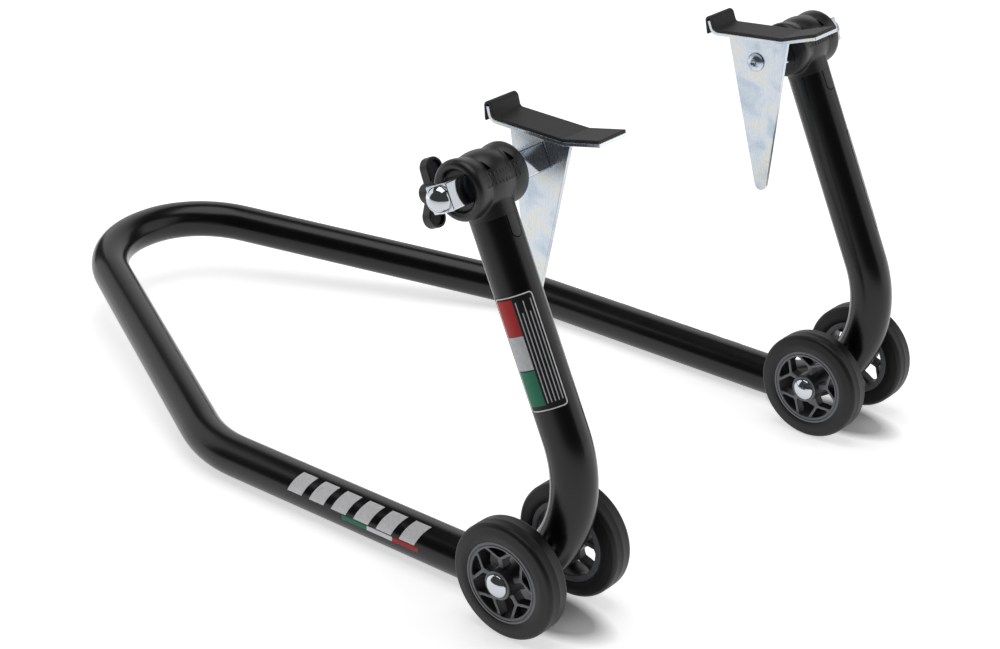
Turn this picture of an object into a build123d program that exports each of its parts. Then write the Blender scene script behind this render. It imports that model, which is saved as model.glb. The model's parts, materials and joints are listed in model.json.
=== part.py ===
from build123d import *
import math
import os

os.makedirs("parts", exist_ok=True)

# Rear paddock stand. +X points forwards, from the handle to the wheels, +Z is up.
# The origin is on the floor, half way along the stand, in its plane of symmetry.
# Everything on the left leg is built once and mirrored to the right leg.

# overall sizes, mm
STAND_LENGTH = 791.0  # back of the handle to front of the wheels
LEG_SPACING = 440.0  # between the centrelines of the two uprights
BAR_HEIGHT = 355.5  # floor to the middle of the sliding bars
UPRIGHT_LEAN = 24.0  # degrees, top of the upright leans back to the handle

# bent tube
TUBE_D = 38.0
TUBE_WALL = 2.5
FOOT_BEND_R = 105.0  # centreline radius between arm and upright
KNEE_FROM_HANDLE = 339.0
KNEE_SPACING = 448.0
KNEE_BEND_R = 141.0
HANDLE_SPACING = 129.0  # between the two corners of the handle, before rounding
HANDLE_HEIGHT = 68.6  # floor to the centreline of the handle
HANDLE_STRAIGHT = 4.0

# wheels
WHEEL_D = 100.0
WHEEL_W = 24.0
TREAD_EDGE_R = 4.0
TYRE_FLANK_R = 42.0  # the tyre's sides are flat up to here
TYRE_FLANK_FALL = 1.0  # and then slope in by this much
RIM_D = 70.0
RIM_RING_W = 5.0
RIM_INSET = 0.3  # rim face below the tyre's side
TYRE_BEAD = 2.0  # depth of the rib that keeps the tyre on the rim
SPOKE_COUNT = 5
SPOKE_W = 2.8
SPOKE_STEM_W = 4.6
SPOKE_FORK_R = 20.0
SPOKE_FORK_ANGLE = 25.0  # degrees from the stem to each fork end, at the ring
SPOKE_DEPTH = 9.0
SPOKE_DROP = 2.0  # how much lower the spokes are at the hub than at the ring
SPOKE_BELOW_FACE = 1.0
SPOKE_ROOT = 1.0  # how far the spokes run into the ring and the hub
GROOVE_W = 1.0
GROOVE_DEPTH = 0.7
HUB_D = 25.0
HUB_LENGTH = 33.0
BUSH_D = 17.0
AXLE_D = 12.0
AXLE_FIT = 0.06  # radial, bush on axle
AXLE_HOLE_FIT = 0.1  # radial, axle in tube
WHEEL_FROM_TUBE = 9.8  # tyre side to tube
WHEEL_TURN_RIGHT = 98.0  # degrees, where one spoke of the outer wheel stands at rest
WHEEL_TURN_LEFT = 51.0
WHEEL_STAGGER = 36.0  # how far the inner wheel is turned on from the outer one
END_FLOAT = 0.4  # gap each side of a hub
SPACER_D = 18.0
SADDLE_GAP = 0.05  # spacer to tube
CAP_D = 20.0
CAP_RISE = 4.2
CAP_RIM = 0.8
AXLE_IN_CAP = 2.6
AXLE_END_EDGE = 0.8
BLIND_GAP = 0.3  # end of a pin to the bottom of its hole
PRESS_GAP = 0.02  # parts pressed or glued together

# clamp head on the upright
HEAD_LENGTH = 59.0
HEAD_D = 49.0
HEAD_WAIST = 4.6  # how much slimmer the head is between its three swellings, on diameter
HEAD_FACE_EDGE = 2.8  # how far the end face's edge is inside the swelling
HEAD_EDGE_DEPTH = 0.8
CREST_SPACING = 26.0  # between the middles of neighbouring swellings
HEAD_TO_TUBE = 28.5  # bar axis down to the end of the tube
SPIGOT_LENGTH = 36.0
SPIGOT_FIT = 0.1
BAR_FIT = 0.2
DISH_D = 35.0
DISH_DEPTH = 3.5
TONGUE_W = 10.0
TONGUE_LENGTH = 18.5
TONGUE_GAP = 0.35
TONGUE_PROUD = 0.4
TONGUE_ROOT = 1.0  # overlap of the tongue with the spigot
NOTCH_DEPTH = 3.5  # below the swellings
NOTCH_LENGTH = 11.0
NOTCH_W = 6.0
NOTCH_TURN = 68.0  # degrees forwards from the top
BOSS_D = 21.0
BOSS_REACH = 38.0
INSERT_D = 12.0
INSERT_TO_BAR = 1.2

# clamp screw with wing
SCREW_D = 8.0
SCREW_FIT = 0.06
SCREW_TIP_GAP = 0.3
WING_SPAN = 60.0
WING_EAR_D = 17.5
WING_WEB = 7.5
WING_THICK = 9.0
WING_HUB_D = 17.0
WING_HUB_LENGTH = 17.0
WING_HUB_DROP = 3.0  # hub stands below the ears
WING_HUB_TOP = 4.0  # closed end over the stud
WING_REACH = 54.5  # bar axis to the middle of the ears
WING_TURN_RIGHT = -21.0  # degrees from the upright's direction, outwards
WING_TURN_LEFT = 20.0

# sliding bar
BAR_SIZE = 22.0
BAR_EDGE = 1.2
BAR_OUTER_END = 48.0  # bar end to the upright's centreline
BOLT_D = 10.0
BOLT_FIT = 0.06
BOLT_IN_BAR = 0.1  # radial
BOLT_IN_NUT = 3.5
BOLT_HEAD_D = 16.5
BOLT_HEAD_RISE = 5.0
BOLT_HEAD_RIM = 1.0
HEX_SIZE = 6.0
HEX_DEPTH = 3.0
NUT_D = 22.0
NUT_RISE = 8.0
NUT_RIM = 1.5

# hanging support
PLATE_IN = 68.0  # middle of the plate to the upright's centreline
PLATE_THICK = 4.0
PLATE_GAP = 0.35  # plate to bar and plate to bolt head
PLATE_TOP = 23.5  # bolt axis up to the plate's top edge
PLATE_TOP_W = 62.0
PLATE_OFFSET = 2.0  # plate's centreline in front of the bolt
PLATE_TIP = 118.0  # bolt axis down to the tip
PLATE_TIP_R = 6.0
CRADLE_W = 34.0
CRADLE_THICK = 3.0
CRADLE_BACK = 36.5
CRADLE_FRONT = 36.5
CRADLE_NOSE = 35.5
CRADLE_NOSE_RISE = 13.0  # degrees
CRADLE_LIP = 12.5
CRADLE_LIP_LEAN = 17.0  # degrees back from upright
CRADLE_BEND_R = 3.0
RUBBER_THICK = 2.5
RUBBER_HOOK = 12.0  # how far the rubber comes down behind the lip
SUPPORT_TILT_RIGHT = -1.9  # degrees, nose up is positive
SUPPORT_TILT_LEFT = 4.6

# stickers
STICKER_THICK = 0.2
STICKER_OFF = 0.02
LABEL_LENGTH = 93.0
LABEL_DOWN = 87.5  # bar axis to the label's top edge
LABEL_TURN = 66.0  # degrees from straight forwards to the label's middle
LABEL_WRAP = 106.0
STRIPE_COUNT = 6
STRIPE_PITCH = 26.0
STRIPE_W = 17.0
STRIPE_SLANT = 22.0  # degrees
STRIPES_FROM_AXLE = 125.0
STRIPE_WRAP = 62.0
STRIPE_TURN = 48.0  # degrees from straight up to the middle of the stripes
BAND_WRAP = 12.0
BAND_TURN = 88.0
BAND_LENGTH = 87.0
BAND_FROM_AXLE = 116.0
BAND_GAP = 0.3

FAR = 200.0  # cutting tools reach well past what they cut


# ---- helpers

def turned(profile_points, start=0.0, arc=360.0):
    """Solid of revolution about Z from (radius, height) points."""
    outline = Polyline(*[(r, 0, h) for r, h in profile_points], close=True)
    return revolve(make_face(outline), Axis.Z, arc).rotate(Axis.Z, start)


def cylinder_between(radius, low, high):
    """Cylinder about Z from height low to height high."""
    base = Plane.XY.offset(low) * Circle(radius)
    return extrude(base, high - low)


def tube_between(outer, inner, low, high):
    """Round tube about Z."""
    return cylinder_between(outer, low, high) - cylinder_between(inner, low - 1, high + 1)


def along_y(shape):
    """Turn a shape built about Z so that its Z runs along +Y."""
    return shape.rotate(Axis.X, -90)


def backwards(shape):
    """Turn a shape built about Z so that its Z runs along -X."""
    return shape.rotate(Axis.Y, -90)


def across(shape, plane):
    """Mirror image of every solid of a shape, as one group."""
    return Compound([solid.mirror(plane) for solid in shape.solids()])


def both(shape):
    """The shape and its mirror image in the XY plane, as one group."""
    return Compound([shape.solid(), shape.solid().mirror(Plane.XY)])


def save(shape, node):
    export_step(shape, "parts/" + node + ".step")


# ---- where things stand

TUBE_R = TUBE_D / 2
BORE_R = TUBE_R - TUBE_WALL
LEG_Y = LEG_SPACING / 2
AXLE_X = (STAND_LENGTH - WHEEL_D) / 2
AXLE_Z = WHEEL_D / 2
lean = math.radians(UPRIGHT_LEAN)
up_leg = Vector(-math.sin(lean), 0, math.cos(lean))

# the axle passes through the middle of the tube, on the foot bend
bend_centre_z = TUBE_R + FOOT_BEND_R
axle_ahead = math.sqrt(FOOT_BEND_R**2 - (bend_centre_z - AXLE_Z) ** 2)
bend_centre_x = AXLE_X - axle_ahead
corner_x = bend_centre_x + FOOT_BEND_R / math.tan((math.pi / 2 - lean) / 2)
bar_x = corner_x - (BAR_HEIGHT - TUBE_R) * math.tan(lean)
handle_x = -(STAND_LENGTH - TUBE_D) / 2
knee_x = handle_x + KNEE_FROM_HANDLE

bar_axis = Vector(bar_x, LEG_Y, BAR_HEIGHT)
tube_end = bar_axis - up_leg * HEAD_TO_TUBE
foot_corner = Vector(corner_x, LEG_Y, TUBE_R)
knee = Vector(knee_x, KNEE_SPACING / 2, TUBE_R)
handle_corner = Vector(handle_x, HANDLE_SPACING / 2, HANDLE_HEIGHT)

# X of the head's own frame is square to the upright and points forwards, its Z is up the leg
head_frame = Location((bar_x, LEG_Y, BAR_HEIGHT), (0, -UPRIGHT_LEAN, 0))
# wheel centres outwards from the upright
wheel_out = TUBE_R + WHEEL_FROM_TUBE + WHEEL_W / 2


# ---- bent tube, one piece from clamp head to clamp head

def mirrored(point):
    return Vector(point.X, -point.Y, point.Z)


def rounded_path(corners, radii):
    """Straight lines joined by arcs that touch both neighbours."""
    edges = []
    here = corners[0]
    for before, corner, after, radius in zip(corners, corners[1:], corners[2:], radii):
        back = (before - corner).normalized()
        on = (after - corner).normalized()
        half = math.acos(max(-1.0, min(1.0, back.dot(on)))) / 2
        reach = radius / math.tan(half)
        start = corner + back * reach
        end = corner + on * reach
        middle = corner + (back + on).normalized() * (radius / math.sin(half) - radius)
        edges.append(Line(here, start))
        edges.append(ThreePointArc(start, middle, end))
        here = end
    edges.append(Line(here, corners[-1]))
    return Wire(edges)


into_handle = (handle_corner - knee).normalized()
handle_turn = math.acos(-into_handle.Y)
handle_r = (HANDLE_SPACING - HANDLE_STRAIGHT) / 2 / math.tan(handle_turn / 2)
left_run = [tube_end, foot_corner, knee, handle_corner]
right_run = [mirrored(point) for point in reversed(left_run)]
bends = [FOOT_BEND_R, KNEE_BEND_R, handle_r]
centreline = rounded_path(left_run + right_run, bends + bends[::-1])

end_plane = Plane(origin=tube_end, z_dir=up_leg * -1)
skin = sweep(end_plane * Circle(TUBE_R), path=centreline)
hollow = sweep(end_plane * Circle(BORE_R), path=centreline)
frame_tube = skin - hollow

# one axle hole across each leg, and an open-ended slot for the head's tongue
axle_hole = along_y(cylinder_between(AXLE_D / 2 + AXLE_HOLE_FIT, -TUBE_D, TUBE_D))


def tongue_block(gap, length):
    """Round-ended block on the front of the tube, in the head's frame."""
    width = TONGUE_W + 2 * gap
    straight = length + gap - width / 2
    bar = Plane.YZ * Pos(0, -HEAD_TO_TUBE - straight / 2) * Rectangle(width, straight)
    end = Plane.YZ * Pos(0, -HEAD_TO_TUBE - straight) * Circle(width / 2)
    return extrude(bar + end, TUBE_D)


tongue_slot = head_frame * tongue_block(TONGUE_GAP, TONGUE_LENGTH)
for cutter in (axle_hole.moved(Location((AXLE_X, LEG_Y, AXLE_Z))), tongue_slot):
    frame_tube = frame_tube - cutter
    frame_tube = frame_tube - cutter.mirror(Plane.XZ)
save(frame_tube, "frame_tube")


# ---- clamp head, in its own frame, with Y outwards

head_half = HEAD_LENGTH / 2
swell_r = HEAD_D / 2
waist_r = swell_r - HEAD_WAIST / 2
face_r = swell_r - HEAD_FACE_EDGE
shoulder_r = swell_r - HEAD_EDGE_DEPTH
shoulder_y = head_half - HEAD_EDGE_DEPTH
body_curve = Spline(
    (shoulder_r, -shoulder_y),
    (swell_r, -CREST_SPACING),
    (waist_r, -CREST_SPACING / 2),
    (swell_r, 0),
    (waist_r, CREST_SPACING / 2),
    (swell_r, CREST_SPACING),
    (shoulder_r, shoulder_y),
)
body_outline = [
    Line((0, -head_half), (face_r, -head_half)),
    Line((face_r, -head_half), (shoulder_r, -shoulder_y)),
    body_curve,
    Line((shoulder_r, shoulder_y), (face_r, head_half)),
    Line((face_r, head_half), (0, head_half)),
    Line((0, head_half), (0, -head_half)),
]
head_body = revolve(make_face(body_outline), Axis.Y)

neck = cylinder_between(TUBE_R, -HEAD_TO_TUBE, 0)
spigot_r = BORE_R - SPIGOT_FIT
spigot = cylinder_between(spigot_r, -HEAD_TO_TUBE - SPIGOT_LENGTH, -HEAD_TO_TUBE)
tongue_out = TUBE_R + TONGUE_PROUD
tongue_ring = tube_between(tongue_out, spigot_r - TONGUE_ROOT, -FAR, -HEAD_TO_TUBE)
tongue = tongue_ring & tongue_block(0, TONGUE_LENGTH)
boss = backwards(cylinder_between(BOSS_D / 2, 0, BOSS_REACH))
head = head_body + neck + spigot + tongue + boss

bar_hole_size = BAR_SIZE + 2 * BAR_FIT
bar_hole = Box(bar_hole_size, FAR, bar_hole_size)
dish = along_y(cylinder_between(DISH_D / 2, head_half - DISH_DEPTH, head_half + DISH_DEPTH))
insert_bore = backwards(cylinder_between(INSERT_D / 2, 0, FAR))
head = head - bar_hole - dish - insert_bore

# a three-cornered notch on the front of each waist, deepest at its lower, wide end
notch_face = Polyline((-NOTCH_LENGTH, 0), (0, NOTCH_W / 2), (0, -NOTCH_W / 2), close=True)
notch = extrude(make_face(notch_face), HEAD_D / 2)
for notch_y in (-CREST_SPACING / 2, CREST_SPACING / 2):
    head = head - Rot(0, NOTCH_TURN, 0) * Pos(0, notch_y, swell_r - NOTCH_DEPTH) * notch

insert_low = BAR_SIZE / 2 + INSERT_TO_BAR
insert = tube_between(INSERT_D / 2 - PRESS_GAP, SCREW_D / 2 + SCREW_FIT, insert_low, BOSS_REACH)
insert = backwards(insert)


# ---- clamp screw: a plain stud with a two-eared wing moulded on it

wing_low = WING_REACH - WING_THICK / 2
hub_low = wing_low - WING_HUB_DROP
hub_high = hub_low + WING_HUB_LENGTH
ear_at = (WING_SPAN - WING_EAR_D) / 2
wing_flat = Pos(ear_at, 0) * Circle(WING_EAR_D / 2) + Pos(-ear_at, 0) * Circle(WING_EAR_D / 2)
wing_flat = wing_flat + Rectangle(2 * ear_at, WING_WEB)
wing_solid = extrude(Plane.XY.offset(wing_low) * wing_flat, WING_THICK)
wing_solid = wing_solid + cylinder_between(WING_HUB_D / 2, hub_low, hub_high)
stud_low = BAR_SIZE / 2 + SCREW_TIP_GAP
stud_high = hub_high - WING_HUB_TOP
stud_solid = cylinder_between(SCREW_D / 2, stud_low, stud_high)
wing_solid = wing_solid - cylinder_between(SCREW_D / 2 + PRESS_GAP, 0, stud_high)


# ---- sliding bar with its through bolt, Y outwards, bolt head at the inner end

plate_face = -PLATE_IN + PLATE_THICK / 2
bar_inner = plate_face + PLATE_GAP
bar_length = BAR_OUTER_END - bar_inner
square_bar = Box(BAR_SIZE, bar_length, BAR_SIZE)
square_bar = chamfer(square_bar.edges().filter_by(Axis.Y), BAR_EDGE)
square_bar = square_bar.moved(Location((0, bar_inner + bar_length / 2, 0)))
square_bar = square_bar - along_y(cylinder_between(BOLT_D / 2 + BOLT_IN_BAR, -FAR, FAR))

head_seat = -PLATE_IN - PLATE_THICK / 2 - PLATE_GAP
bolt_end = BAR_OUTER_END + BOLT_IN_NUT


def dome(radius, rise, rim):
    """Flat-bottomed dome about Z with a short straight rim."""
    sphere_r = (radius**2 + rise**2) / (2 * rise)
    ball = Pos(0, 0, rim + rise - sphere_r) * Sphere(sphere_r)
    return cylinder_between(radius, 0, rim + rise) & ball


bolt_head = dome(BOLT_HEAD_D / 2, BOLT_HEAD_RISE - BOLT_HEAD_RIM, BOLT_HEAD_RIM)
hex_socket = extrude(RegularPolygon(HEX_SIZE / 2, 6, major_radius=False), FAR)
bolt_head = bolt_head - hex_socket.moved(Location((0, 0, BOLT_HEAD_RISE - HEX_DEPTH)))
bolt_head = along_y(bolt_head).mirror(Plane.XZ).moved(Location((0, head_seat, 0)))
shank = along_y(cylinder_between(BOLT_D / 2, head_seat, bolt_end))
bar_bolt = bolt_head + shank

cap_nut = dome(NUT_D / 2, NUT_RISE, NUT_RIM)
cap_nut = cap_nut - cylinder_between(BOLT_D / 2 + PRESS_GAP, -FAR, BOLT_IN_NUT + BLIND_GAP)
cap_nut = along_y(cap_nut).moved(Location((0, BAR_OUTER_END, 0)))


# ---- hanging support: plate on the bolt, bent cradle strip welded on it, rubber cover
# Built level about the bolt axis, X forwards, Z up, Y outwards from the plate's middle.

tip_drop = PLATE_TIP - PLATE_TIP_R
top_back = PLATE_OFFSET - PLATE_TOP_W / 2
top_front = PLATE_OFFSET + PLATE_TOP_W / 2
# flanks run tangent to the rounded tip
flank = math.atan2(PLATE_TOP_W / 2 - PLATE_TIP_R, PLATE_TOP + tip_drop)
flank_x = PLATE_TIP_R * math.cos(flank)
flank_z = -tip_drop - PLATE_TIP_R * math.sin(flank)
plate_outline = Polyline(
    (top_back, PLATE_TOP),
    (top_front, PLATE_TOP),
    (PLATE_OFFSET + flank_x, flank_z),
    (PLATE_OFFSET - flank_x, flank_z),
    close=True,
)
plate_flat = make_face(plate_outline) + Pos(PLATE_OFFSET, -tip_drop) * Circle(PLATE_TIP_R)
side_plate = extrude(Plane.XZ * plate_flat, PLATE_THICK / 2, both=True)
plate_bore = BOLT_D / 2 + BOLT_FIT
side_plate = side_plate - along_y(cylinder_between(plate_bore, -FAR, FAR))


def bent_line(height):
    """Side view of the bent strip at one height above the plate's top edge."""
    nose = math.radians(CRADLE_NOSE_RISE)
    lip = math.radians(CRADLE_LIP_LEAN)
    nose_mitre = height * math.tan(nose / 2)
    lip_mitre = height * math.tan((math.pi / 2 - lip) / 2)
    z = PLATE_TOP + height
    lip_corner = Vector(-CRADLE_BACK + lip_mitre, 0, z)
    nose_corner = Vector(CRADLE_FRONT - nose_mitre, 0, z)
    along_lip = Vector(-math.sin(lip), 0, math.cos(lip))
    along_nose = Vector(math.cos(nose), 0, math.sin(nose))
    lip_end = lip_corner + along_lip * (CRADLE_LIP - lip_mitre)
    nose_end = nose_corner + along_nose * (CRADLE_NOSE - nose_mitre)
    radius = CRADLE_BEND_R + CRADLE_THICK + RUBBER_THICK - height
    return rounded_path([lip_end, lip_corner, nose_corner, nose_end], [radius, radius])


def bent_strip(low, high):
    """The strip between two heights, as wide as the cradle."""
    under = bent_line(low)
    over = bent_line(high)
    ends = [Line(under @ 0, over @ 0), Line(under @ 1, over @ 1)]
    face = make_face(list(under.edges()) + list(over.edges()) + ends)
    return extrude(face, CRADLE_W / 2, dir=(0, 1, 0), both=True)


cradle = bent_strip(0, CRADLE_THICK)
rubber = bent_strip(CRADLE_THICK, CRADLE_THICK + RUBBER_THICK)

# the cover goes over the top of the lip and comes down behind it
lip_top = (bent_line(0) @ 0 + bent_line(CRADLE_THICK) @ 0) * 0.5
hook_r = CRADLE_THICK / 2 + RUBBER_THICK
hook_wrap = Circle(hook_r)
hook_wrap = hook_wrap + Pos(0, -RUBBER_HOOK / 2) * Rectangle(2 * hook_r, RUBBER_HOOK)
hook_wrap = hook_wrap - Pos(0, -RUBBER_HOOK) * Rectangle(CRADLE_THICK, 2 * RUBBER_HOOK)
front_layer = Pos(CRADLE_THICK / 2 + RUBBER_THICK, -RUBBER_HOOK - CRADLE_THICK)
hook_wrap = hook_wrap - front_layer * Rectangle(2 * RUBBER_THICK, 2 * RUBBER_HOOK)
hook_flat = Plane.XZ * Pos(lip_top.X, lip_top.Z) * Rot(0, 0, CRADLE_LIP_LEAN) * hook_wrap
rubber = rubber + extrude(hook_flat, CRADLE_W / 2, both=True)


def hung(shape, tilt):
    """Hang a support part on the left bar's bolt, nose up by tilt degrees."""
    place = Location((bar_x, LEG_Y - PLATE_IN, BAR_HEIGHT), (0, -tilt, 0))
    return shape.moved(place)


# ---- wheel, about Z, with its open face towards +Z, away from the tube

rim_half = WHEEL_W / 2 - RIM_INSET
ring_r = RIM_D / 2
ring_in = ring_r - RIM_RING_W
bead_r = ring_r - TYRE_BEAD
bead_half = WHEEL_W / 5
groove_r = ring_r - RIM_RING_W / 2
hub_r = HUB_D / 2
hub_half = HUB_LENGTH / 2

ring_points = [
    (ring_in, -rim_half),
    (ring_r, -rim_half),
    (ring_r, -bead_half),
    (bead_r, -bead_half),
    (bead_r, bead_half),
    (ring_r, bead_half),
    (ring_r, rim_half),
    (groove_r + GROOVE_W / 2, rim_half),
    (groove_r, rim_half - GROOVE_DEPTH),
    (groove_r - GROOVE_W / 2, rim_half),
    (ring_in, rim_half),
]
rim = turned(ring_points) + cylinder_between(hub_r, -hub_half, hub_half)


def spoke_arm(start, end, width):
    """Straight flat bar with round ends between two points."""
    span = math.dist(start, end)
    middle = ((start[0] + end[0]) / 2, (start[1] + end[1]) / 2)
    turn = math.degrees(math.atan2(end[1] - start[1], end[0] - start[0]))
    return Pos(*middle) * Rot(0, 0, turn) * SlotCenterToCenter(span, width)


fork = (SPOKE_FORK_R, 0)
fork_r = ring_in + SPOKE_ROOT
fork_out = fork_r * math.cos(math.radians(SPOKE_FORK_ANGLE))
fork_side = fork_r * math.sin(math.radians(SPOKE_FORK_ANGLE))
spoke_flat = spoke_arm((hub_r - SPOKE_ROOT, 0), fork, SPOKE_STEM_W)
spoke_flat = spoke_flat + spoke_arm(fork, (fork_out, fork_side), SPOKE_W)
spoke_flat = spoke_flat + spoke_arm(fork, (fork_out, -fork_side), SPOKE_W)
spoke_high = rim_half - SPOKE_BELOW_FACE
spoke_low = spoke_high - SPOKE_DEPTH
spoke_room = turned(
    [
        (0, spoke_low - SPOKE_DROP),
        (groove_r, spoke_low),
        (groove_r, spoke_high),
        (hub_r, spoke_high - SPOKE_DROP),
        (0, spoke_high - SPOKE_DROP),
    ]
)
one_spoke = extrude(Plane.XY.offset(-WHEEL_W) * spoke_flat, 2 * WHEEL_W) & spoke_room
for number in range(SPOKE_COUNT):
    rim = rim + one_spoke.rotate(Axis.Z, number * 360 / SPOKE_COUNT)
rim = rim - cylinder_between(BUSH_D / 2, -WHEEL_W, WHEEL_W)

tread_r = WHEEL_D / 2
tyre_half = WHEEL_W / 2
tread_half = tyre_half - TYRE_FLANK_FALL
seat_r = ring_r + PRESS_GAP
rib_r = bead_r + PRESS_GAP
rib_half = bead_half - PRESS_GAP
tyre_points = [
    (seat_r, -tyre_half),
    (TYRE_FLANK_R, -tyre_half),
    (tread_r, -tread_half),
    (tread_r, tread_half),
    (TYRE_FLANK_R, tyre_half),
    (seat_r, tyre_half),
    (seat_r, rib_half),
    (rib_r, rib_half),
    (rib_r, -rib_half),
    (seat_r, -rib_half),
]
tyre_flat = make_face(Polyline(*tyre_points, close=True))
shoulders = tyre_flat.vertices().sort_by(Axis.X)[-2:]
tyre_flat = fillet(shoulders, TREAD_EDGE_R)
tyre = revolve(tyre_flat, Axis.Y).rotate(Axis.X, 90)

bush = tube_between(BUSH_D / 2 - PRESS_GAP, AXLE_D / 2 + AXLE_FIT, -hub_half, hub_half)


# ---- axle, spacers and caps, about Z, middle of the tube at 0

axle_frame = Location((AXLE_X, LEG_Y, AXLE_Z))
spacer_high = wheel_out - hub_half - END_FLOAT
spacer = tube_between(SPACER_D / 2, AXLE_D / 2 + SPIGOT_FIT, 0, spacer_high)
cap_low = wheel_out + hub_half + END_FLOAT
axle_end = cap_low + AXLE_IN_CAP
cap = dome(CAP_D / 2, CAP_RISE, CAP_RIM)
cap = cap - cylinder_between(AXLE_D / 2 + PRESS_GAP, -FAR, AXLE_IN_CAP + BLIND_GAP)
cap = cap.moved(Location((0, 0, cap_low)))
axle = cylinder_between(AXLE_D / 2, -axle_end, axle_end)
axle = chamfer(axle.edges(), AXLE_END_EDGE)

# the spacers' inner ends are shaped to sit on the round of the tube
round_of_tube = sweep(end_plane * Circle(TUBE_R + SADDLE_GAP), path=centreline)
spacers = along_y(both(spacer)).moved(axle_frame)
spacers = Compound([solid for piece in spacers.solids() for solid in (piece - round_of_tube).solids()])


# ---- stickers on the outer side of the upright and of the arm

sticker_in = TUBE_R + STICKER_OFF
sticker_out = sticker_in + STICKER_THICK


def sticker(middle, wrap, low, high):
    """Thin curved patch about Z; middle and wrap in degrees."""
    corners = [
        (sticker_in, low),
        (sticker_out, low),
        (sticker_out, high),
        (sticker_in, high),
    ]
    return turned(corners, middle - wrap / 2, wrap)


label = sticker(LABEL_TURN, LABEL_WRAP, -LABEL_DOWN - LABEL_LENGTH, -LABEL_DOWN)

# on the arm, Z runs forwards along it and angles count from straight up, outwards
arm_way = (foot_corner - knee).normalized()
axle_along = (AXLE_X - foot_corner.X) / arm_way.X
arm_origin = foot_corner + arm_way * axle_along
arm_frame = Plane(origin=arm_origin, x_dir=(0, 0, 1), z_dir=arm_way).location
stripes = []
for number in range(STRIPE_COUNT):
    back = STRIPES_FROM_AXLE + number * STRIPE_PITCH
    patch = sticker(-STRIPE_TURN, STRIPE_WRAP, -back - STRIPE_PITCH, -back + STRIPE_PITCH)
    blade = Rot(0, 0, -STRIPE_TURN) * Pos(TUBE_R, 0, -back) * Rot(-STRIPE_SLANT, 0, 0)
    stripes.append(patch & blade * Box(TUBE_D, 3 * TUBE_D, STRIPE_W))
third = BAND_LENGTH / 3
for number in range(3):
    front = -BAND_FROM_AXLE - number * third
    stripes.append(sticker(-BAND_TURN, BAND_WRAP, front - third + BAND_GAP, front))
arm_marks = Compound([piece for stripe in stripes for piece in stripe.solids()])


# ---- write every piece: left leg as built, right leg mirrored

def left_and_right(left_shape, right_shape, node):
    save(left_shape, "left_" + node)
    save(across(right_shape, Plane.XZ), "right_" + node)


def same_both_sides(shape, node):
    left_and_right(shape, shape, node)


same_both_sides(head_frame * head, "clamp_head")
same_both_sides(head_frame * insert, "clamp_insert")
same_both_sides(head_frame * square_bar, "bar")
same_both_sides(head_frame * bar_bolt, "bar_bolt")
same_both_sides(head_frame * cap_nut, "bar_nut")
same_both_sides(head_frame * label, "upright_label")
same_both_sides(arm_frame * arm_marks, "arm_marks")

for part, node in ((wing_solid, "wing"), (stud_solid, "stud")):
    turned_left = head_frame * backwards(part).rotate(Axis.X, -WING_TURN_LEFT)
    turned_right = head_frame * backwards(part).rotate(Axis.X, -WING_TURN_RIGHT)
    left_and_right(turned_left, turned_right, node)

for part, node in ((side_plate, "plate"), (cradle, "cradle"), (rubber, "pad")):
    left_and_right(hung(part, SUPPORT_TILT_LEFT), hung(part, SUPPORT_TILT_RIGHT), node)

same_both_sides(along_y(axle).moved(axle_frame), "axle")
same_both_sides(spacers, "spacers")
same_both_sides(along_y(both(cap)).moved(axle_frame), "axle_caps")

for part, node in ((rim, "rim"), (tyre, "tyre"), (bush, "bush")):
    for side, turn in (("left", WHEEL_TURN_LEFT), ("right", WHEEL_TURN_RIGHT)):
        # a spoke first stands along X, and angles count from +X up towards +Z
        outer = along_y(part).rotate(Axis.Y, -turn).moved(Location((0, wheel_out, 0)))
        inner = outer.rotate(Axis.Y, -WHEEL_STAGGER).mirror(Plane.XZ)
        for place, wheel in (("outer", outer), ("inner", inner)):
            wheel = wheel.moved(axle_frame)
            if side == "right":
                wheel = wheel.mirror(Plane.XZ)
            save(wheel, side + "_" + place + "_" + node)
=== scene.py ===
import json
import math

import bmesh
import bpy
from mathutils import Matrix, Vector


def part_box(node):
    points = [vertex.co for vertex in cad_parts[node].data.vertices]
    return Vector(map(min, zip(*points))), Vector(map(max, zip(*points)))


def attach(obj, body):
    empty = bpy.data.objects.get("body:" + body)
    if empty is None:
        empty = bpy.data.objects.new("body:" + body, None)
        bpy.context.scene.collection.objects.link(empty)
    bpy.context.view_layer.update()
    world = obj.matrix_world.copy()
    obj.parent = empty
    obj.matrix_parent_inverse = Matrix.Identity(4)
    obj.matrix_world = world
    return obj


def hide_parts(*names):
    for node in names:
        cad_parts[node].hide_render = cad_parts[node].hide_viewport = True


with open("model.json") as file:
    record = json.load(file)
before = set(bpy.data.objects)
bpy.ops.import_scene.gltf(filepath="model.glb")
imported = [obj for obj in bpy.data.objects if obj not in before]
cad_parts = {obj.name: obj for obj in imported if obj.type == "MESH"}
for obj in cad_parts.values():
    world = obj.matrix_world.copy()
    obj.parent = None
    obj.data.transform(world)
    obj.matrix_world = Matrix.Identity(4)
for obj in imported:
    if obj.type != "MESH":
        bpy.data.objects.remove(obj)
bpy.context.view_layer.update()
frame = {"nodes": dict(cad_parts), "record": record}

MM = 0.001
SIDES = (("left", 1), ("right", -1))

# ---- places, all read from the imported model

joints = {joint["name"]: joint for joint in frame["record"]["behaviour"]["joints"]}
mounts = {mount["name"]: mount for mount in frame["record"]["mounts"]}


def middle(node):
    low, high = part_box(node)
    return (low + high) / 2


leg_y = middle("left_axle").y
screw_way = Vector(joints["left_clamp_screw_turn"]["axis"])
lean = math.atan2(-screw_way.z, -screw_way.x)
pivot = Vector(joints["left_support_swing"]["pos_m"])


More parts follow.
